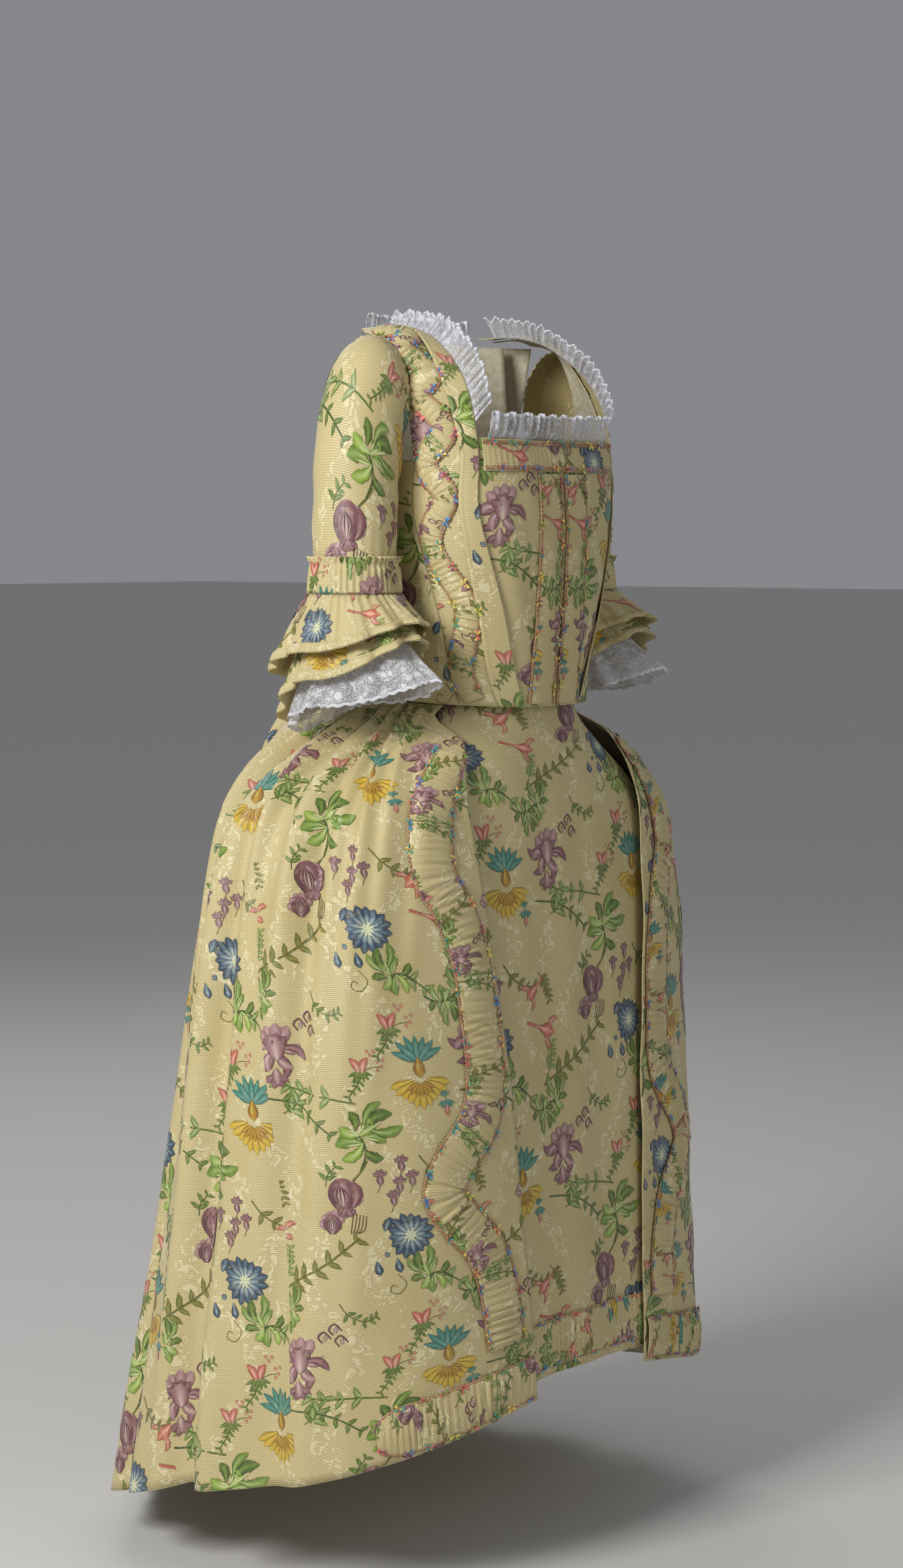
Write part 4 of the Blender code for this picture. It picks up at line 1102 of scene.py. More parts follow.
def bell(loom, x, y, size, lean):
    """A pink trumpet with flared points."""
    way = toward(radians(lean))
    aside = np.array([way[1], -way[0]])
    base = np.array([x, y]) - way * size * 0.9
    mouth = np.array([x, y]) + way * size * 0.45
    loom.stem([base - way * size * 0.6, base, mouth - way * size * 0.6], size * 0.16, CORAL)
    loom.blade(base, mouth + way * size * 0.2, size * 0.85, CORAL, widest=0.78, order=1, blunt=0.08, rows=6)
    loom.blade(base + way * size * 0.4, mouth, size * 0.45, PINK, widest=0.75, order=3, rows=4)
    for k in (-1, 0, 1):
        start = mouth - way * size * 0.2 + aside * k * size * 0.25
        loom.blade(start, start + (way * 0.55 + aside * k * 0.55) * size, size * 0.32, CORAL, order=2,
                   rows=3, bend=0.2 * k)


ACANTHUS_LEAVES = (
    (0, -0.3, -1.20, -0.35, 0.66), (0, -0.25, -1.00, -0.95, 0.52), (0, -0.5, 0.80, -1.00, 0.52),
    (0, 0, 1.00, -0.30, 0.60), (-0.1, 0.1, 0.35, 0.80, 0.70), (0.1, 0.35, 1.40, 0.95, 0.58),
    (0.3, 0.35, 1.80, 0.35, 0.54), (-0.1, 0.1, -0.95, 0.50, 0.56), (-0.3, 0.3, -0.45, 1.15, 0.50),
    (0.1, 0.5, 0.95, 1.50, 0.44))


def acanthus(loom, x, y, size, turn=0.0, flip=1):
    """A scrolling leaf cluster on a stalk; turn is in degrees."""
    spin = complex(cos(radians(turn)), sin(radians(turn))) * size

    def at(dx, dy):
        spot = complex(dx * flip, dy) * spin
        return (x + spot.real, y + spot.imag)

    loom.stem([at(-0.25, -1.5), at(0.05, -0.8), at(0, -0.2), at(-0.3, 0.2)], 0.0024, LEAF_DARK)
    for k, (dx, dy, tx, ty, wide) in enumerate(ACANTHUS_LEAVES):
        loom.blade(at(dx, dy), at(tx, ty), size * wide, (LEAF, LIME, LEAF_DARK)[k % 3],
                   bend=0.16 * (-1) ** k * flip, widest=0.62, teeth=3, bite=0.30, rows=9,
                   order=1 + k // 2, blunt=0.15)
    for dx, dy, tx, ty in ((0, -0.3, -0.8, -0.35), (0, 0, 0.75, -0.22), (0, 0.15, 0.9, 0.62),
                           (-0.1, 0.1, -0.6, 0.36), (-0.1, 0.2, 0.15, 0.6)):
        loom.blade(at(dx, dy), at(tx, ty), size * 0.10, LEAF_VEIN, order=8)


def bloom(loom, x, y, size):
    """A full purple bloom with loose curling petals."""
    for k, lean in enumerate((-170, -140, -112, -82, -52, -22, 10, 168, 195)):
        way = toward(radians(lean))
        reach = size * (1.25 if k % 2 else 1.0)
        loom.blade(np.array([x, y]) + way * size * 0.15, np.array([x, y]) + way * reach, size * 0.36,
                   PLUM if k % 2 else MAUVE, bend=0.25 * (-1) ** k, widest=0.6, rows=6, order=k % 3)
    loom.fan((x, y), size * 0.98, size * 0.52, MAUVE, 40, 150, 4, widest=0.66, order=4, blunt=0.25)
    loom.fan((x, y + size * 0.02), size * 0.62, size * 0.44, PLUM, 25, 165, 4, widest=0.6, order=7)
    loom.blade((x, y - size * 0.45), (x, y + size * 0.45), size * 0.72, MAUVE, order=9, blunt=0.35)
    low = (x - size * 0.1, y - size * 1.05)
    loom.fan(low, size * 0.55, size * 0.34, PLUM, 190, 350, 4, order=3, widest=0.6)
    loom.blade((low[0], low[1] + size * 0.3), (low[0], low[1] - size * 0.4), size * 0.4, MAUVE, order=6)
    for dx, dy in ((1.1, 0.95), (1.75, 0.75), (1.55, 1.25)):
        place = (x + dx * size, y + dy * size)
        loom.stem([(place[0] + size * 0.25, place[1] - size * 0.1), (place[0], place[1] + size * 0.2),
                   (place[0] - size * 0.25, place[1]), (place[0] - size * 0.1, place[1] - size * 0.25)],
                  0.0021, PLUM, 2)
        loom.blade((place[0], place[1] - size * 0.2), (place[0] + size * 0.05, place[1] + size * 0.1),
                   size * 0.16, MAUVE, rows=3, order=3)


CHART_SIZE = np.array([0.26, 0.37])


def woven_repeat():
    """One repeat of the brocade, drawn on a chart 0.26 m wide and 0.37 m high."""
    loom = Loom()
    loom.spray([(0.017, 0.1425), (0.050, 0.158), (0.090, 0.178), (0.132, 0.208)], 6, 0.0200, OLIVE, 0.0024)
    loom.spray([(0.145, -0.002), (0.105, 0.006), (0.066, 0.011), (0.040, 0.022)], 5, 0.0165, LEAF, 0.0020)
    loom.spray([(0.017, 0.372), (0.055, 0.366), (0.085, 0.352), (0.112, 0.330)], 5, 0.0150, LEAF_DARK, 0.002)
    loom.spray([(0.215, 0.146), (0.238, 0.140), (0.262, 0.118), (0.285, 0.100)], 4, 0.0150, LEAF, 0.0020)
    loom.spray([(0.212, 0.300), (0.226, 0.282), (0.246, 0.270), (0.266, 0.268)], 4, 0.0140, OLIVE, 0.0018)
    loom.stem([(0.150, 0.300), (0.142, 0.288), (0.130, 0.276)], 0.0022)
    acanthus(loom, 0.148, 0.328, 0.0270)
    acanthus(loom, 0.212, 0.150, 0.0205, 78)
    acanthus(loom, 0.034, 0.122, 0.0185, -62, -1)
    acanthus(loom, 0.272, 0.112, 0.0165, -100)
    peony(loom, 0.120, 0.262, 0.0225)
    cornflower(loom, 0.192, 0.204, 0.0265)
    fan_flower(loom, 0.226, 0.010, 0.0330)
    teal_sprig(loom, 0.256, 0.352, 0.0135)
    bloom(loom, 0.046, 0.060, 0.0300)
    buds(loom, 0.196, 0.086, 0.0175)
    buds(loom, 0.155, 0.036, 0.0160)
    bell(loom, 0.022, 0.212, 0.0245, -20)
    bell(loom, 0.002, 0.262, 0.0215, 215)
    loom.spray([(0.022, 0.150), (0.030, 0.165), (0.033, 0.180), (0.035, 0.195)], 6, 0.0120, LEAF)
    loom.spray([(0.012, 0.285), (0.022, 0.275), (0.030, 0.262), (0.034, 0.246)], 6, 0.0115, OLIVE)
    loom.spray([(0.045, 0.353), (0.060, 0.362), (0.070, 0.380)], 3, 0.0200, LEAF)
    loom.spray([(0.100, 0.128), (0.110, 0.112), (0.128, 0.102), (0.142, 0.106)], 5, 0.0110, LEAF_DARK)
    return loom.shapes


REPEAT = woven_repeat()
Panel = namedtuple("Panel", "start end du dv")


def brocade(name, cloth, du=0.0, dv=0.0, scale=1.0, squeeze=1.0, slot="brocade", lift=None, keep=None,
            panels=()):
    """Weave the flowers into a piece of cloth, with the repeat moved by du and dv.

    squeeze is how far gathers shorten the repeat. Panels are widths of silk, each with its own du and dv.
    """
    sizes = bpy.context.scene.robe_sizes
    lift = sizes.flower_lift if lift is None else lift
    wide, high = sizes.repeat_width * scale, sizes.repeat_height * scale * squeeze
    scales = np.array([wide, high]) / CHART_SIZE
    grids, tints = [], []
    for panel in panels or (Panel(0.0, cloth.width, du, dv),):
        first, last = int((panel.start - panel.du) / wide) - 2, int((panel.end - panel.du) / wide) + 2
        low, top = int(-panel.dv / high) - 2, int((cloth.height - panel.dv) / high) + 2
        for column in range(first, last):
            for row in range(low, top):
                corner = np.array([panel.du + column * wide, panel.dv + row * high])
                weave_tile(grids, tints, cloth, corner, scales, lift, keep, panel)
    bm = bmesh.new()
    bm.verts.layers.float_color.new("thread")
    add_grids(bm, grids, tints)
    return finish_piece(bm, name, ["brocaded_threads"], slot)


MARGIN = 0.0004             # between the woven shapes and the edges of their cloth
SMALLEST = 0.0006           # shapes cut off to less than this are left out
LAYER = 0.00006             # from one layer of shapes to the next


def weave_tile(grids, tints, cloth, corner, scales, lift, keep, panel):
    """Add the shapes of one repeat that lie on the cloth, cut off at its edges."""
    chosen = []
    for places, tint, order in REPEAT:
        spots = places * scales + corner
        low, high = spots.min((0, 1)), spots.max((0, 1))
        if low[1] > cloth.height - MARGIN or high[1] < MARGIN:
            continue
        if low[0] > panel.end - MARGIN or high[0] < panel.start + MARGIN:
            continue
        start, end = cloth.span(spots[..., 1])
        u = np.clip(spots[..., 0], np.maximum(start, panel.start) + MARGIN,
                    np.minimum(end, panel.end) - MARGIN)
        v = np.clip(spots[..., 1], MARGIN, cloth.height - MARGIN)
        if min(np.ptp(u), np.ptp(v)) < SMALLEST or (u != spots[..., 0]).mean() > 0.6:
            continue
        if keep and not keep(*((low + high) / 2)):
            continue
        chosen.append((np.stack([u, v], axis=-1), tint, lift + order * LAYER))
    if not chosen:
        return
    counts = [spots.shape[0] * spots.shape[1] for spots, _, _ in chosen]
    flat = np.concatenate([spots.reshape(-1, 2) for spots, _, _ in chosen])
    lifts = np.repeat([height for _, _, height in chosen], counts)
    solid = cloth.place(flat[:, 0], flat[:, 1], lifts)
    for part, (spots, tint, _) in zip(np.split(solid, np.cumsum(counts)[:-1]), chosen):
        grids.append(part.reshape(*spots.shape[:2], 3))
        tints.append(tint)


# Pieces

def named(piece, side):
    return piece + ("_right" if side == RIGHT else "_left")


def skirt_cloth(side):
    def row(shares, at):
        ring = Ring(*smooth(ROBE, at))
        first = edge_angles(at, ring.edge_x)[0]
        last = ring.seam - SEAM_GAP
        return robe_points(first + (last - first) * shares, at, tucked=True)

    rows = even_rows(ROBE, WAIST + 0.02, HEM, 72)[::-1]
    cloth = cloth_of(row, np.linspace(0, 1, 117), rows, side, anchor=0)
    u, v = cloth.flat()
    creases = wavy(11 if side == LEFT else 12, 5, 4.0, 10.0)(u, v)
    fade = np.minimum(1, v / 0.05) * np.minimum(1, (cloth.height - v) / 0.1)
    return cloth.push(0.0011 * creases * fade)


SKIRTS = {}


def skirt_share(x, at):
    """How far round a side skirt a point lies that is x from the centre front."""
    ring = Ring(*smooth(ROBE, at))
    first, angle = edge_angles(at, (ring.edge_x, x))
    return (angle - first) / (ring.seam - SEAM_GAP - first)


def skirt_panels(cloth, side):
    """The widths of silk in a side skirt, whose repeats don't meet at their seams."""
    panels = []
    for near, far, du, dv in ((0.0, 0.300, 0.088, 0.086), (0.300, 0.500, 0.050, 0.040),
                              (0.500, cloth.width, 0.030, 0.160)):
        if side == RIGHT:
            panels.append(Panel(cloth.width - far, cloth.width - near, cloth.width - du, dv))
        else:
            panels.append(Panel(near, far, du + 0.02, dv + 0.02))
    return panels


class ROBE_OT_skirts(bpy.types.Operator):
    """Side skirts of the robe, with their woven flowers"""
    bl_idname = "robe.skirts"
    bl_label = "Side skirts"

    def execute(self, context):
        for side in (RIGHT, LEFT):
            cloth = skirt_cloth(side)
            SKIRTS[side] = cloth
            name = named("robe_skirt", side)
            sew_brocaded(name, cloth, {"panels": skirt_panels(cloth, side)}, rests_on=["petticoat"],
                         lining="woven_linen")
        return {"FINISHED"}


class ROBE_OT_sack_back(bpy.types.Operator):
    """The back in one length, with two double box pleats"""
    bl_idname = "robe.sack_back"
    bl_label = "Sack back"

    def execute(self, context):
        def row(shares, at):
            seam = Ring(*smooth(ROBE, at)).seam + SEAM_GAP
            return robe_points(seam + (360 - 2 * seam) * shares, at)

        cloth = cloth_of(row, np.linspace(0, 1, 113), even_rows(ROBE, 0, HEM, 86)[::-1], anchor=0.5)
        u, v = cloth.flat()
        fade = np.minimum(1, v / 0.05) * np.minimum(1, (cloth.height - v) / 0.3)
        cloth.push(0.0013 * wavy(21, 5, 3.0, 8.0)(u, v) * fade)
        sew_brocaded("sack_back", cloth, {"du": 0.03, "dv": 0.04}, held="hung",
                     rests_on=["bodice_back"], lining="woven_linen")
        return {"FINISHED"}


class ROBE_OT_petticoat(bpy.types.Operator):
    """The petticoat, with its ruched hem strip"""
    bl_idname = "robe.petticoat"
    bl_label = "Petticoat"

    def execute(self, context):
        def row(turns, at):
            fall = (at - 2.0) / 6.0
            soft = 0.0022 * np.cos(np.radians(turns) * 13 + 0.8 * np.sin(np.radians(turns) * 3))
            return ring_points(PETTICOAT, turns, at, -0.0012 + soft * max(0.0, fall))

        front = np.linspace(-58, 58, 70)
        turns = np.concatenate([np.linspace(-180, -61, 27), front, np.linspace(61, 180, 27)])
        cloth = cloth_of(row, turns, even_rows(PETTICOAT, 0, 8, 64)[::-1], anchor=0.5)
        weave = {"du": 0.180, "dv": 0.210, "keep": lambda u, v: abs(u - cloth.width / 2) < 0.30}
        sew_brocaded("petticoat", cloth, weave, held="gathered", rests_on=["bodice_back"], closed=True)
        path = along([cloth.spot(turn, 7.745) for turn in np.linspace(-31.5, 31.5, 120)], 0.0016)
        ruche = strip_on(cloth, path, 0.0285, 13, 0.0016, 0.0014, 0.0075, 0.0012, 5, 0.7)
        gimp = gimp_on("petticoat_flounce_gimp", cloth,
                       [path + np.array([0, 0.0265]), path - np.array([0, 0.0265])], lift=0.0016, seed=8)
        lay_trim("petticoat_flounce", ruche, gimp, ["petticoat"], du=0.02, dv=0.03, scale=0.9,
                 squeeze=0.62)
        return {"FINISHED"}


CENTRE_GAP = 0.0003         # half the gap between the two halves of the false front


def compere_width(at):
    """Width of one half of the false front, which tucks under the robing."""
    tuck = np.interp(at, (NECKLINE, BUST), (-0.003, 0.003))
    return front_line(at).inner_x + tuck - CENTRE_GAP


class ROBE_OT_bodice(bpy.types.Operator):
    """Fitted back, side pieces, and the false waistcoat front with its strips and band"""
    bl_idname = "robe.bodice"
    bl_label = "Bodice"

    def execute(self, context):
        self.fitted_back()
        for side in (RIGHT, LEFT):
            self.side_piece(side)
            self.compere(side)
        self.band()
        return {"FINISHED"}

    def fitted_back(self):
        rows = ((-0.4004, 0.105, -0.015, 0.0565, 105), (-0.300, 0.118, -0.020, 0.066, 104),
                (-0.200, 0.130, -0.025, 0.072, 105), (-0.110, 0.138, -0.030, 0.074, 122),
                (-0.003, 0.150, -0.029, 0.0768, 128))

        def row(shares, at):
            z, half_width, mid_y, back_y, start = smooth(rows, at)
            t = np.radians(start + (360 - 2 * start) * shares)
            return np.stack([half_width * np.sin(t), mid_y - (back_y - mid_y) * np.cos(t),
                             np.full(len(shares), z)], axis=-1)

        cloth = cloth_of(row, np.linspace(0, 1, 41), np.linspace(0, 4, 41), anchor=0.5)
        sew("bodice_back", cloth, "woven_linen", "stretched", ["petticoat"])

    def side_piece(self, side):
        def row(shares, at):
            outer = front_line(at).outer + 0.25
            seam = Ring(*smooth(ROBE, at)).seam - 0.16
            return robe_points(outer + (seam - outer) * shares, at)

        cloth = cloth_of(row, np.linspace(0, 1, 31), np.linspace(5, 2, 50), side, anchor=0.5)
        name = named("bodice_side", side)
        sew_brocaded(name, cloth, {"du": 0.01, "dv": -0.12}, held="stretched", rests_on=["sack_back"],
                     lining="woven_linen")

    def compere(self, side):
        def row(shares, at):
            return robe_points(edge_angles(at, CENTRE_GAP + compere_width(at) * shares), at)

        cloth = cloth_of(row, np.linspace(0, 1, 31), np.linspace(5, NECKLINE, 60), side, anchor=0)
        u, v = cloth.flat()
        cloth.push(0.0005 * wavy(31, 4, 12, 26)(u, v))
        name = named("compere", side)
        weave = {"du": -0.009 if side == RIGHT else -0.10, "dv": -0.172}
        sew_brocaded(name, cloth, weave, held="stretched", rests_on=[named("robing_inner", side)],
                     lining="woven_linen")

        def edge(x_share, at):
            x = 0.003 + (0.038 + 0.002 * (at - ARMHOLE) / 3) * x_share
            return cloth.spot((x - CENTRE_GAP) / compere_width(at), at)

        rows = np.linspace(4.96, 2.28, 60)
        inner, middle, outer = [np.array([edge(x_share, at) for at in rows]) for x_share in (0.05, 0.5, 0.95)]
        half = np.abs(outer - inner)[:, 0].mean() / 1.8
        path = along(middle, 0.0022)
        strip = strip_on(cloth, path, half, 17, 0.0016, 0.0005, 0.021, 0.0011, 41 + side, 1.4)
        name = named("compere_strip", side)
        gimp = gimp_on(name + "_gimp", cloth, [inner, outer], lift=0.0018, seed=51 + side)
        lay_trim(name, strip, gimp, [named("compere", side)], du=0.012, dv=0.045, scale=0.8)

    def band(self):
        def row(shares, at):
            angles = edge_angles(at, np.abs(shares) * (front_line(at).inner_x - 0.006))
            return robe_points(np.where(shares >= 0, angles, (360 - angles) % 360), at, 0.0014)

        cloth = cloth_of(row, np.linspace(-1, 1, 121), np.linspace(2.22, NECKLINE + 0.02, 20), anchor=0.5)
        u, v = cloth.flat()
        folds = np.sin(2 * pi * u / 0.007 + 1.2 * np.sin(u * 90))
        cloth.push(0.0004 * folds * np.sin(pi * v / cloth.height))
        low = [[0.002, 0.0035], [cloth.width - 0.002, 0.0035]]
        high = [[0.002, cloth.height - 0.0035], [cloth.width - 0.002, cloth.height - 0.0035]]
        gimp = gimp_on("compere_band_gimp", cloth, [low, high], lift=0.0007, seed=61)
        lay_trim("compere_band", cloth, gimp, ["compere_right", "compere_left"], "stretched", du=0.03,
                 dv=-0.148, scale=0.85)


class ROBE_OT_robings(bpy.types.Operator):
    """Robings over the shoulders, with the winding ruched trim"""
    bl_idname = "robe.robings"
    bl_label = "Robings"

    def execute(self, context):
        stations = np.linspace(0, LAST_STATION, 104)
        for side in (RIGHT, LEFT):
            outer = cloth_of(front_points, np.linspace(JOINT - 0.02, 1.0, 31), stations, side, anchor=0)
            u, v = outer.flat()
            outer.push(0.0006 * wavy(71, 4, 10, 22)(u, v) * np.minimum(1, v / 0.02))
            self.outer_robing(side, outer)
            inner = cloth_of(front_points, np.linspace(-0.03, JOINT + 0.015, 19), stations, side, anchor=0)
            self.inner_robing(side, inner)
        return {"FINISHED"}

    def inner_robing(self, side, cloth):
        share = np.linspace(0, 1, 19)[None, :]
        if side == LEFT:
            share = 1 - share
        fold = 0.0010 * np.sin(pi * share) + 0.0009 * np.exp(-((share - 0.12) / 0.08) ** 2)
        cloth.push(0.0030 + fold + np.zeros(cloth.points.shape[:2]))
        name = named("robing_inner", side)
        sew_brocaded(name, cloth, {"du": -0.12, "dv": 0.02}, held="folded",
                     rests_on=[named("robing_outer", side)])

    def outer_robing(self, side, cloth):
        name = named("robing_outer", side)
        sew_brocaded(name, cloth, {"du": -0.02, "dv": -0.09}, held="folded",
                     rests_on=[named("bodice_side", side)], lining="woven_linen")

        def spot(station):
            return cloth.spot(0.60 + 0.17 * sin(2 * pi * station / 1.30), station)

        path = along([spot(station) for station in np.linspace(0.08, 7.0, 260)], 0.0016)
        trim = strip_on(cloth, path, 0.0125, 11, 0.0032, 0.0020, 0.0072, 0.0012, 81 + side, 0.8)
        edge_trim(named("furbelow_bodice", side), cloth, path, 0.0120, 91 + side, trim, name,
                  du=0.04 * side, dv=0.05, scale=0.75, squeeze=0.62)


def offset_path(path, side, distance):
    """A flat path moved to one side of it."""
    return path + sideways(path) * side * np.broadcast_to(distance, len(path))[:, None]


def sleeve_points(turns, at):
    ring = SleeveRing(*smooth(SLEEVE, at))
    outer = np.array([ring.outer_x, ring.mid_y, ring.outer_z])
    inner = np.array([ring.inner_x, ring.mid_y, ring.inner_z])
    t = np.radians(turns)[:, None]
    return (outer + inner) / 2 + (outer - inner) / 2 * np.sin(t) \
        - np.array([0, ring.half_depth, 0]) * np.cos(t)


def edge_trim(name, cloth, path, reach, seed, trim, rests_on, **weave):
    """Lay a ruched trim on a piece, with gimp at its reach on both sides of its path."""
    edges = [offset_path(path, way, reach) for way in (1, -1)]
    gimp = gimp_on(name + "_gimp", cloth, edges, lift=0.0018, seed=seed)
    lay_trim(name, trim, gimp, [rests_on], **weave)


def swell(points, turns, out):
    """Move the points of a ring out from its axis, in place."""
    t = np.radians(turns)
    points[:, 0] += np.sin(t) * out
    points[:, 1] -= np.cos(t) * out
    return points


def tier_points(tier, turns, share):
    t = np.radians(turns)
    ahead, out = np.cos(t), np.sin(t)
    hem = np.where(ahead > 0, tier.hem_front, tier.hem_back)
    reach = np.where(ahead > 0, tier.front_reach, tier.back_reach)
    hem_z = tier.hem_side + (hem - tier.hem_side) * ahead ** 2
    flare = share ** tier.ease
    wave = tier.depth * flare * np.cos(t * tier.waves) * (1 + 0.25 * np.sin(3 * t + 0.7))
    half_width = tier.top_r + (tier.half_width - tier.top_r) * flare + wave
    half_depth = tier.top_r + (reach - tier.top_r) * flare + wave
    middle = ELBOW_X + (tier.mid_x - ELBOW_X) * flare
    return np.stack([middle + half_width * out, ELBOW_Y - half_depth * ahead,
                     tier.top_z + (hem_z - tier.top_z) * share], axis=-1)


class ROBE_OT_sleeves(bpy.types.Operator):
    """Elbow sleeves with gathered headings"""
    bl_idname = "robe.sleeves"
    bl_label = "Sleeves"

    def execute(self, context):
        for side in (RIGHT, LEFT):
            turns = np.linspace(-90, 270, 85)
            cloth = cloth_of(sleeve_points, turns, np.linspace(7, 0, 54), side, anchor=0.5)
            u, v = cloth.flat()
            elbow = np.exp(-((v - 0.03) / 0.03) ** 2)
            head = np.exp(-((cloth.height - v) / 0.025) ** 2)
            creases = wavy(101, 5, 9, 20)(u * 0.6, v * 1.6)
            gathers = np.sin(2 * pi * u / 0.011 + 1.5 * np.sin(u * 60))
            cloth.push(-0.0008 + 0.0009 * creases + 0.0007 * gathers * elbow + 0.0012 * gathers * head)
            name = named("sleeve", side)
            sew_brocaded(name, cloth, {"du": 0.108, "dv": -0.173}, held="stretched",
                         rests_on=[named("robing_outer", side)], closed=True)
            self.heading(side)
        return {"FINISHED"}

    def heading(self, side):
        """Gathered band with a small ruffle standing at its top."""
        tier = TIERS["sleeve_heading"]

        def row(turns, share):
            points = tier_points(tier, turns, max(share, 0.0))
            t = np.radians(turns)
            gathers = np.cos(t * 44 + 1.3 * np.sin(t * 5)) * (0.8 + 0.3 * np.sin(7 * t))
            stand = 0.0016 + 0.0011 * gathers
            if share < 0.0:
                points[:, 2] += -share * 0.030
                stand = stand + 0.0016 * (-share / 0.25) * (1 + gathers)
            if 0.0 <= share < 0.1 or share > 0.93:
                stand = stand * 0.55
            return swell(points, turns, stand)

        shares = np.concatenate([np.linspace(1, 0, 12), [-0.08, -0.16, -0.25]])
        cloth = cloth_of(row, np.linspace(-90, 270, 225), shares, side)
        name = named("sleeve_heading", side)
        sew_brocaded(name, cloth, {"du": 0.02, "dv": -0.06, "lift": 0.0006}, held="gathered",
                     rests_on=[named("sleeve", side)], closed=True, wall=TRIM_WALL)


class ROBE_OT_flounces(bpy.types.Operator):
    """Two tiers of silk flounces, edged with a narrow pleating, over deep lace"""
    bl_idname = "robe.flounces"
    bl_label = "Sleeve flounces and lace"

    def execute(self, context):
        for side in (RIGHT, LEFT):
            for piece in ("flounce_upper", "flounce_lower"):
                self.flounce(piece, side)
            self.lace(side)
        return {"FINISHED"}

    def flounce(self, piece, side):
        tier = TIERS[piece]

        def row(turns, share):
            t = np.radians(turns)
            gathers = np.cos(t * 41 + 1.4 * np.sin(t * 6)) * (0.9 + 0.3 * np.sin(5 * t))
            ripple = gathers * (0.0009 * (1 - share) ** 0.7 + 0.0005) - 0.0006
            return swell(tier_points(tier, turns, share), turns, ripple)

        cloth = cloth_of(row, np.linspace(-90, 270, 217), np.linspace(1, 0, 13), side)
        name = named(piece, side)
        du, dv = (0.121, -0.157) if piece == "flounce_upper" else (0.090, 0.015)
        flowers = brocade(name + "_flowers", cloth, du, dv, lift=0.0005)
        path = along([[0.003, 0.0065], [cloth.width - 0.003, 0.0065]], 0.0018)
        edging = strip_on(cloth, path, 0.0058, 7, 0.0016, 0.0011, 0.0052, 0.0006, 111 + side, 0.5)
        bm = bmesh.new()
        add_cloth(bm, edging)
        pleating = finish_piece(bm, name + "_pleating", ["silk"], "brocade")
        sew(name, cloth, held="gathered", rests_on=[named("sleeve_heading", side)], closed=True,
            wall=TRIM_WALL, with_pieces=[flowers, pleating])

    def lace(self, side):
        tier = TIERS["lace_cuff"]

        def row(turns, share):
            t = np.radians(turns)
            gathers = np.cos(t * 19 + 1.6 * np.sin(t * 3) + 0.9 * np.sin(t * 7))
            ripple = 0.0019 * gathers * (0.35 + share) - 0.0010
            points = swell(tier_points(tier, turns, share), turns, ripple)
            points[:, 2] -= 0.0024 * np.abs(np.cos(t * 26)) * max(0.0, share - 0.92) / 0.08
            return points

        cloth = cloth_of(row, np.linspace(-90, 270, 289), np.linspace(1, 0, 20), side)
        sew(named("lace_cuff", side), cloth, "worked_lace", "gathered", [named("flounce_lower", side)],
            closed=True)


FRILL_RISES = np.linspace(0, 1, 12)


class ROBE_OT_neck_lace(bpy.types.Operator):
    """Gathered lace frills round the neckline"""
    bl_idname = "robe.neck_lace"
    bl_label = "Neck lace"

    def execute(self, context):
        for side in (RIGHT, LEFT):
            self.side_frill(side)
        self.front_frill()
        self.back_frill()
        return {"FINISHED"}

    def side_frill(self, side):
        first, last = 3.72, LAST_STATION - 0.42
        shape = cloth_of(front_points, np.linspace(-0.03, JOINT + 0.015, 9),
                         np.linspace(0, LAST_STATION, 120), LEFT, anchor=0)
        shape.push(np.full(shape.points.shape[:2], 0.0030))
        share = np.linspace(0, 1, 300)
        v = np.array([shape.spot(0, station)[1] for station in np.linspace(first, last, len(share))])
        edge = shape.place(0.0, v, -0.0011 + 0 * v)
        inward = edge - shape.place(0.004, v, -0.0011 + 0 * v)
        inward /= np.linalg.norm(inward, axis=1, keepdims=True)
        facing = shape.place(0.0, v, 1 + 0 * v) - shape.place(0.0, v, 0 * v)
        way = inward * 0.60 + np.array([0, 0, 0.78])
        way /= np.linalg.norm(way, axis=1, keepdims=True)
        base = edge + inward * 0.0009
        rows = np.array([frill_row(base, way, facing, share, rise, 20) for rise in FRILL_RISES[::-1]])
        if side == RIGHT:
            rows = rows[:, ::-1] * np.array([-1, 1, 1])
        sew(named("neck_lace", side), Cloth(rows), "worked_lace", "gathered", [named("robing_inner", side)])

    def front_frill(self):
        share = np.linspace(-1, 1, 320)
        angles = edge_angles(NECKLINE, np.abs(share) * (front_line(ARMHOLE).inner_x - 0.013))
        base = robe_points(angles, NECKLINE)
        base[:, 0] *= np.sign(share)
        base[:, 2] += 0.0006
        way = np.tile([0, -0.13, 1.0], (len(share), 1))
        facing = np.tile([0.0, -1.0, 0.0], (len(share), 1))
        rows = [frill_row(base, way, facing, (share + 1) / 2, rise, 19) for rise in FRILL_RISES]
        sew("neck_lace_front", Cloth(np.array(rows)), "worked_lace", "gathered", ["compere_band"],
            edge_up=True)

    def back_frill(self):
        share = np.linspace(-1, 1, 200)
        angles = 180 + share * 44
        base = robe_points(angles, NECK)
        base[:, 2] += 0.0006
        out = np.stack([np.sin(np.radians(angles)), -np.cos(np.radians(angles)), 0 * angles], axis=1)
        way = np.tile([0, 0, 1.0], (len(share), 1)) - out * 0.1
        rows = [frill_row(base, way, out, (share + 1) / 2, rise, 17) for rise in FRILL_RISES]
        sew("neck_lace_back", Cloth(np.array(rows)), "worked_lace", "gathered", ["sack_back"],
            edge_up=True)


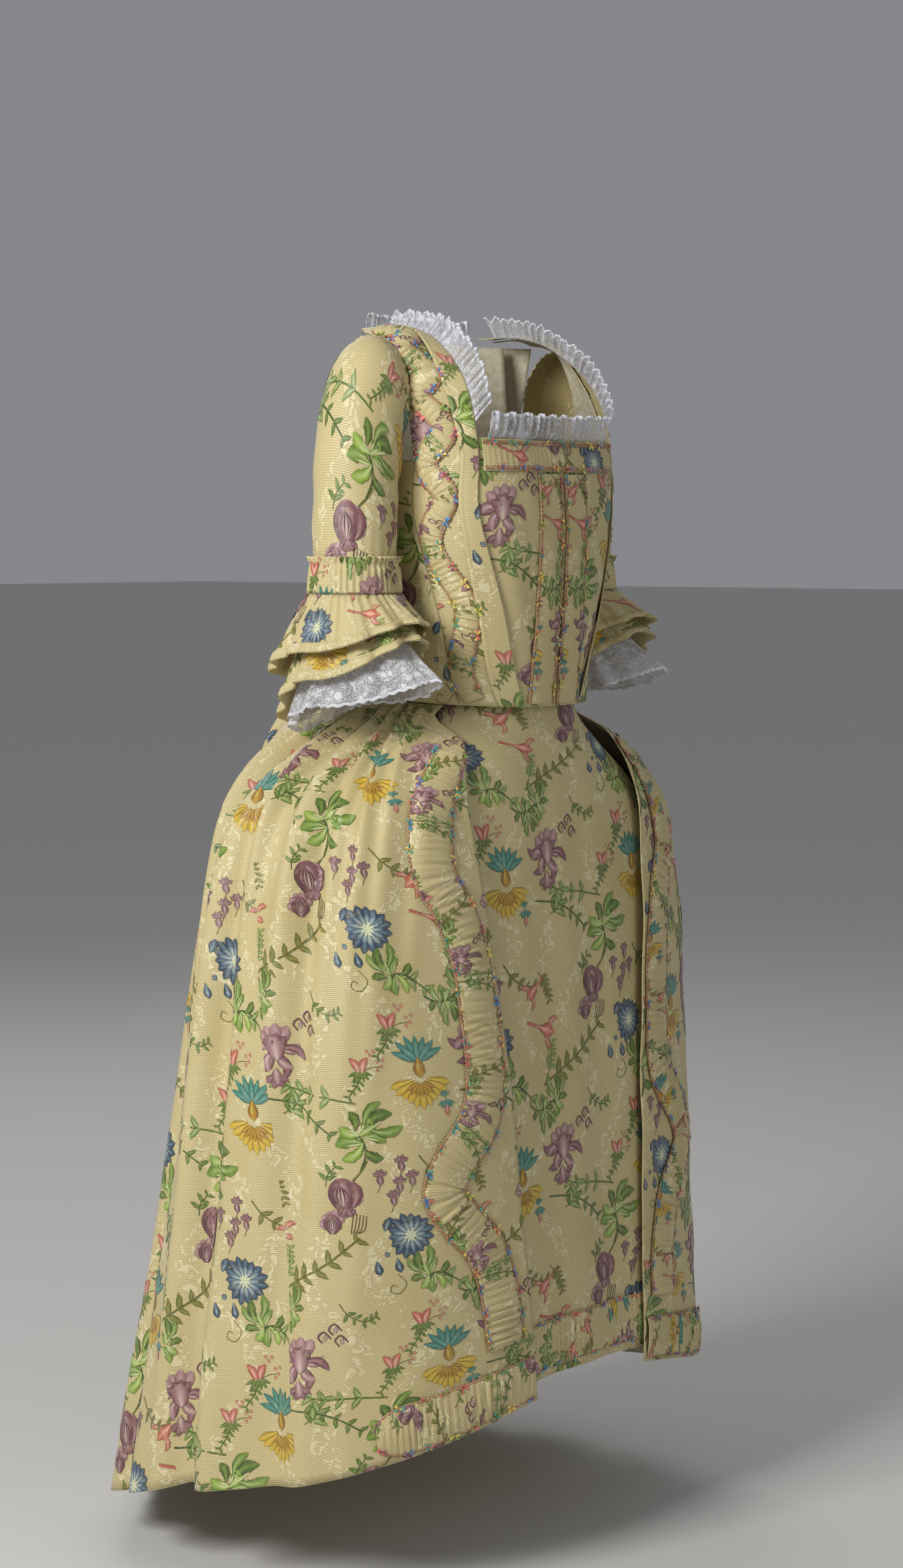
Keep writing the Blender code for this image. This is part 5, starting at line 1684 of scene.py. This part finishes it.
def frill_row(base, way, facing, share, rise, waves):
    """One row of a gathered lace frill at a height from 0, its seam, to 1, its scalloped edge."""
    phase = 2 * pi * waves * share + 1.2 * np.sin(2 * pi * share * 2.3) + 0.5 * np.sin(2 * pi * share * 5.7)
    depth = 1 + 0.35 * np.sin(2 * pi * share * 3.1 + 1.0)
    lobe = 2 * np.abs(np.cos(phase / 2)) ** 0.8 - 1
    wave = 0.0036 * sin(2.45 * rise) * lobe * depth
    small = 0.0007 * rise * np.cos(phase * 2.3 + 1.0)
    scallop = 0.0010 * max(0.0, rise - 0.85) / 0.15 * np.abs(np.cos(phase * 1.5))
    droop = 0.05 * rise ** 2 * (1 + np.cos(phase * 0.5 + 0.8))
    height = 0.028 * rise * (1 - droop) + scallop
    return base + way * height[:, None] + facing * (wave + small)[:, None]


class ROBE_OT_furbelows(bpy.types.Operator):
    """Winding ruched trim down the robe's front, and ruched hem strips, edged with gimp"""
    bl_idname = "robe.furbelows"
    bl_label = "Skirt trims"

    def execute(self, context):
        for side in (RIGHT, LEFT):
            cloth = SKIRTS[side]
            self.winding(side, cloth)
            self.hem_strip(side, cloth)
        return {"FINISHED"}

    def winding(self, side, cloth):
        last = len(FURBELOW) - 1
        spots = []
        for row in np.linspace(last, 0, 150):
            spot = Winding(*smooth(FURBELOW, row))
            spots.append(cloth.spot(skirt_share(spot.x, spot.at), spot.at))
        path = along(spots, 0.0019)
        half = 0.0255 * np.interp(np.linspace(0, 1, len(path)), (0, 0.86, 1), (1, 1, 0.68))
        trim = strip_on(cloth, path, half, 13, 0.0030, 0.0020, 0.0105, 0.0012, 121 + side, 1.0)
        edge_trim(named("furbelow_skirt", side), cloth, path, half - 0.0005, 131 + side, trim,
                  named("robe_skirt", side), du=0.03 * side, dv=0.10, scale=0.95, squeeze=0.60)

    def hem_strip(self, side, cloth):
        hem = ROBE[HEM]
        first = edge_angles(HEM, hem.edge_x)[0]
        end = (52 - first) / (hem.seam - SEAM_GAP - first)
        path = along([cloth.spot(share, HEM) for share in np.linspace(0.006, end, 100)], 0.0019)
        path = path + np.array([0, 0.0375])
        share = np.linspace(0, 1, len(path))
        half = 0.0310 * np.sqrt(np.clip(1 - ((share - 0.82) / 0.20).clip(0) ** 2, 0.10, 1))
        strip = strip_on(cloth, path, half, 15, 0.0030, 0.0018, 0.0085, 0.0012, 141 + side, 0.8)
        edge_trim(named("hem_flounce", side), cloth, path, half - 0.001, 151 + side, strip,
                  named("robe_skirt", side), du=0.05 * side, dv=0.06, scale=0.9, squeeze=0.60)


# Studio

CAMERA_AZIMUTH = radians(-50)
CAMERA_DISTANCE = 3.4
CAMERA_HEIGHT = -0.23
LENS = 68.1             # on a 36 mm long side
PITCH = atan(308 / 3784)
AIM_ASIDE = -0.013      # how far the camera's aim lies beside the body's axis
FLOOR_HALF = 60
FLOOR_GAP = 0.002
Lamp = namedtuple("Lamp", "name place size power")
LAMPS = (
    Lamp("key", (-2.9, 0.0, 1.0), 1.1, 92), Lamp("fill", (0.2, -3.6, 0.5), 2.6, 17),
    Lamp("rim", (1.6, 2.6, 1.6), 1.8, 24),
)
LAMPS_AIM = Vector((0, 0, -0.6))


class ROBE_OT_studio(bpy.types.Operator):
    """Pale floor, soft light and the camera"""
    bl_idname = "robe.studio"
    bl_label = "Studio"

    def execute(self, context):
        self.floor()
        self.camera()
        self.lights()
        return {"FINISHED"}

    def floor(self):
        bm = bmesh.new()
        bmesh.ops.create_grid(bm, x_segments=2, y_segments=2, size=FLOOR_HALF)
        bmesh.ops.translate(bm, verts=bm.verts, vec=(0, 0, CAD_BOX[0][2] - FLOOR_GAP))
        mesh = bpy.data.meshes.new("studio_floor")
        bm.to_mesh(mesh)
        bm.free()
        floor = bpy.data.objects.new("studio_floor", mesh)
        bpy.context.scene.collection.objects.link(floor)
        material, _, _ = new_material("studio_floor", 0.9, bpy.context.scene.robe_colours.floor)
        mesh.materials.append(material)

    def camera(self):
        back = Vector((sin(CAMERA_AZIMUTH), -cos(CAMERA_AZIMUTH), 0))
        right = Vector((cos(CAMERA_AZIMUTH), sin(CAMERA_AZIMUTH), 0))
        place = back * CAMERA_DISTANCE + right * AIM_ASIDE + Vector((0, 0, CAMERA_HEIGHT))
        data = bpy.data.cameras.new("camera")
        data.sensor_fit = "VERTICAL"
        data.sensor_height = 36
        data.lens = LENS
        camera = bpy.data.objects.new("camera", data)
        bpy.context.scene.collection.objects.link(camera)
        camera.location = place
        aim = -back * cos(PITCH) - Vector((0, 0, sin(PITCH)))
        camera.rotation_euler = aim.to_track_quat("-Z", "Y").to_euler()
        bpy.context.scene.camera = camera

    def lights(self):
        world = bpy.data.worlds.new("studio")
        world.use_nodes = True
        background = world.node_tree.nodes["Background"]
        background.inputs["Color"].default_value = (0.92, 0.94, 1.0, 1)
        background.inputs["Strength"].default_value = 0.26
        bpy.context.scene.world = world
        bpy.context.scene.view_settings.view_transform = "Standard"
        for lamp in LAMPS:
            data = bpy.data.lights.new(lamp.name, "AREA")
            data.size = lamp.size
            data.energy = lamp.power
            light = bpy.data.objects.new(lamp.name, data)
            bpy.context.scene.collection.objects.link(light)
            light.location = lamp.place
            aim = LAMPS_AIM - Vector(lamp.place)
            light.rotation_euler = aim.to_track_quat("-Z", "Y").to_euler()


class ROBE_PT_pieces(bpy.types.Panel):
    """Lists the steps that dress the robe"""
    bl_label = "Robe a la francaise"
    bl_idname = "ROBE_PT_pieces"
    bl_space_type = "VIEW_3D"
    bl_region_type = "UI"
    bl_category = "Robe"

    def draw(self, context):
        for step in STEPS:
            self.layout.operator(step.bl_idname)
        for group in (context.scene.robe_sizes, context.scene.robe_colours):
            for name in group.__annotations__:
                self.layout.prop(group, name)


STEPS = (ROBE_OT_petticoat, ROBE_OT_skirts, ROBE_OT_sack_back, ROBE_OT_bodice, ROBE_OT_robings,
         ROBE_OT_sleeves, ROBE_OT_flounces, ROBE_OT_neck_lace, ROBE_OT_furbelows, ROBE_OT_studio)
CLASSES = (RobeSizes, RobeColours, *STEPS, ROBE_PT_pieces)


def register():
    for each in CLASSES:
        bpy.utils.register_class(each)
    bpy.types.Scene.robe_sizes = PointerProperty(type=RobeSizes)
    bpy.types.Scene.robe_colours = PointerProperty(type=RobeColours)


def unregister():
    del bpy.types.Scene.robe_colours
    del bpy.types.Scene.robe_sizes
    for each in reversed(CLASSES):
        bpy.utils.unregister_class(each)


def main():
    register()
    bpy.ops.robe.studio()
    bpy.ops.robe.petticoat()
    bpy.ops.robe.skirts()
    bpy.ops.robe.sack_back()
    bpy.ops.robe.bodice()
    bpy.ops.robe.robings()
    bpy.ops.robe.sleeves()
    bpy.ops.robe.flounces()
    bpy.ops.robe.neck_lace()
    bpy.ops.robe.furbelows()


if __name__ == "__main__":
    main()
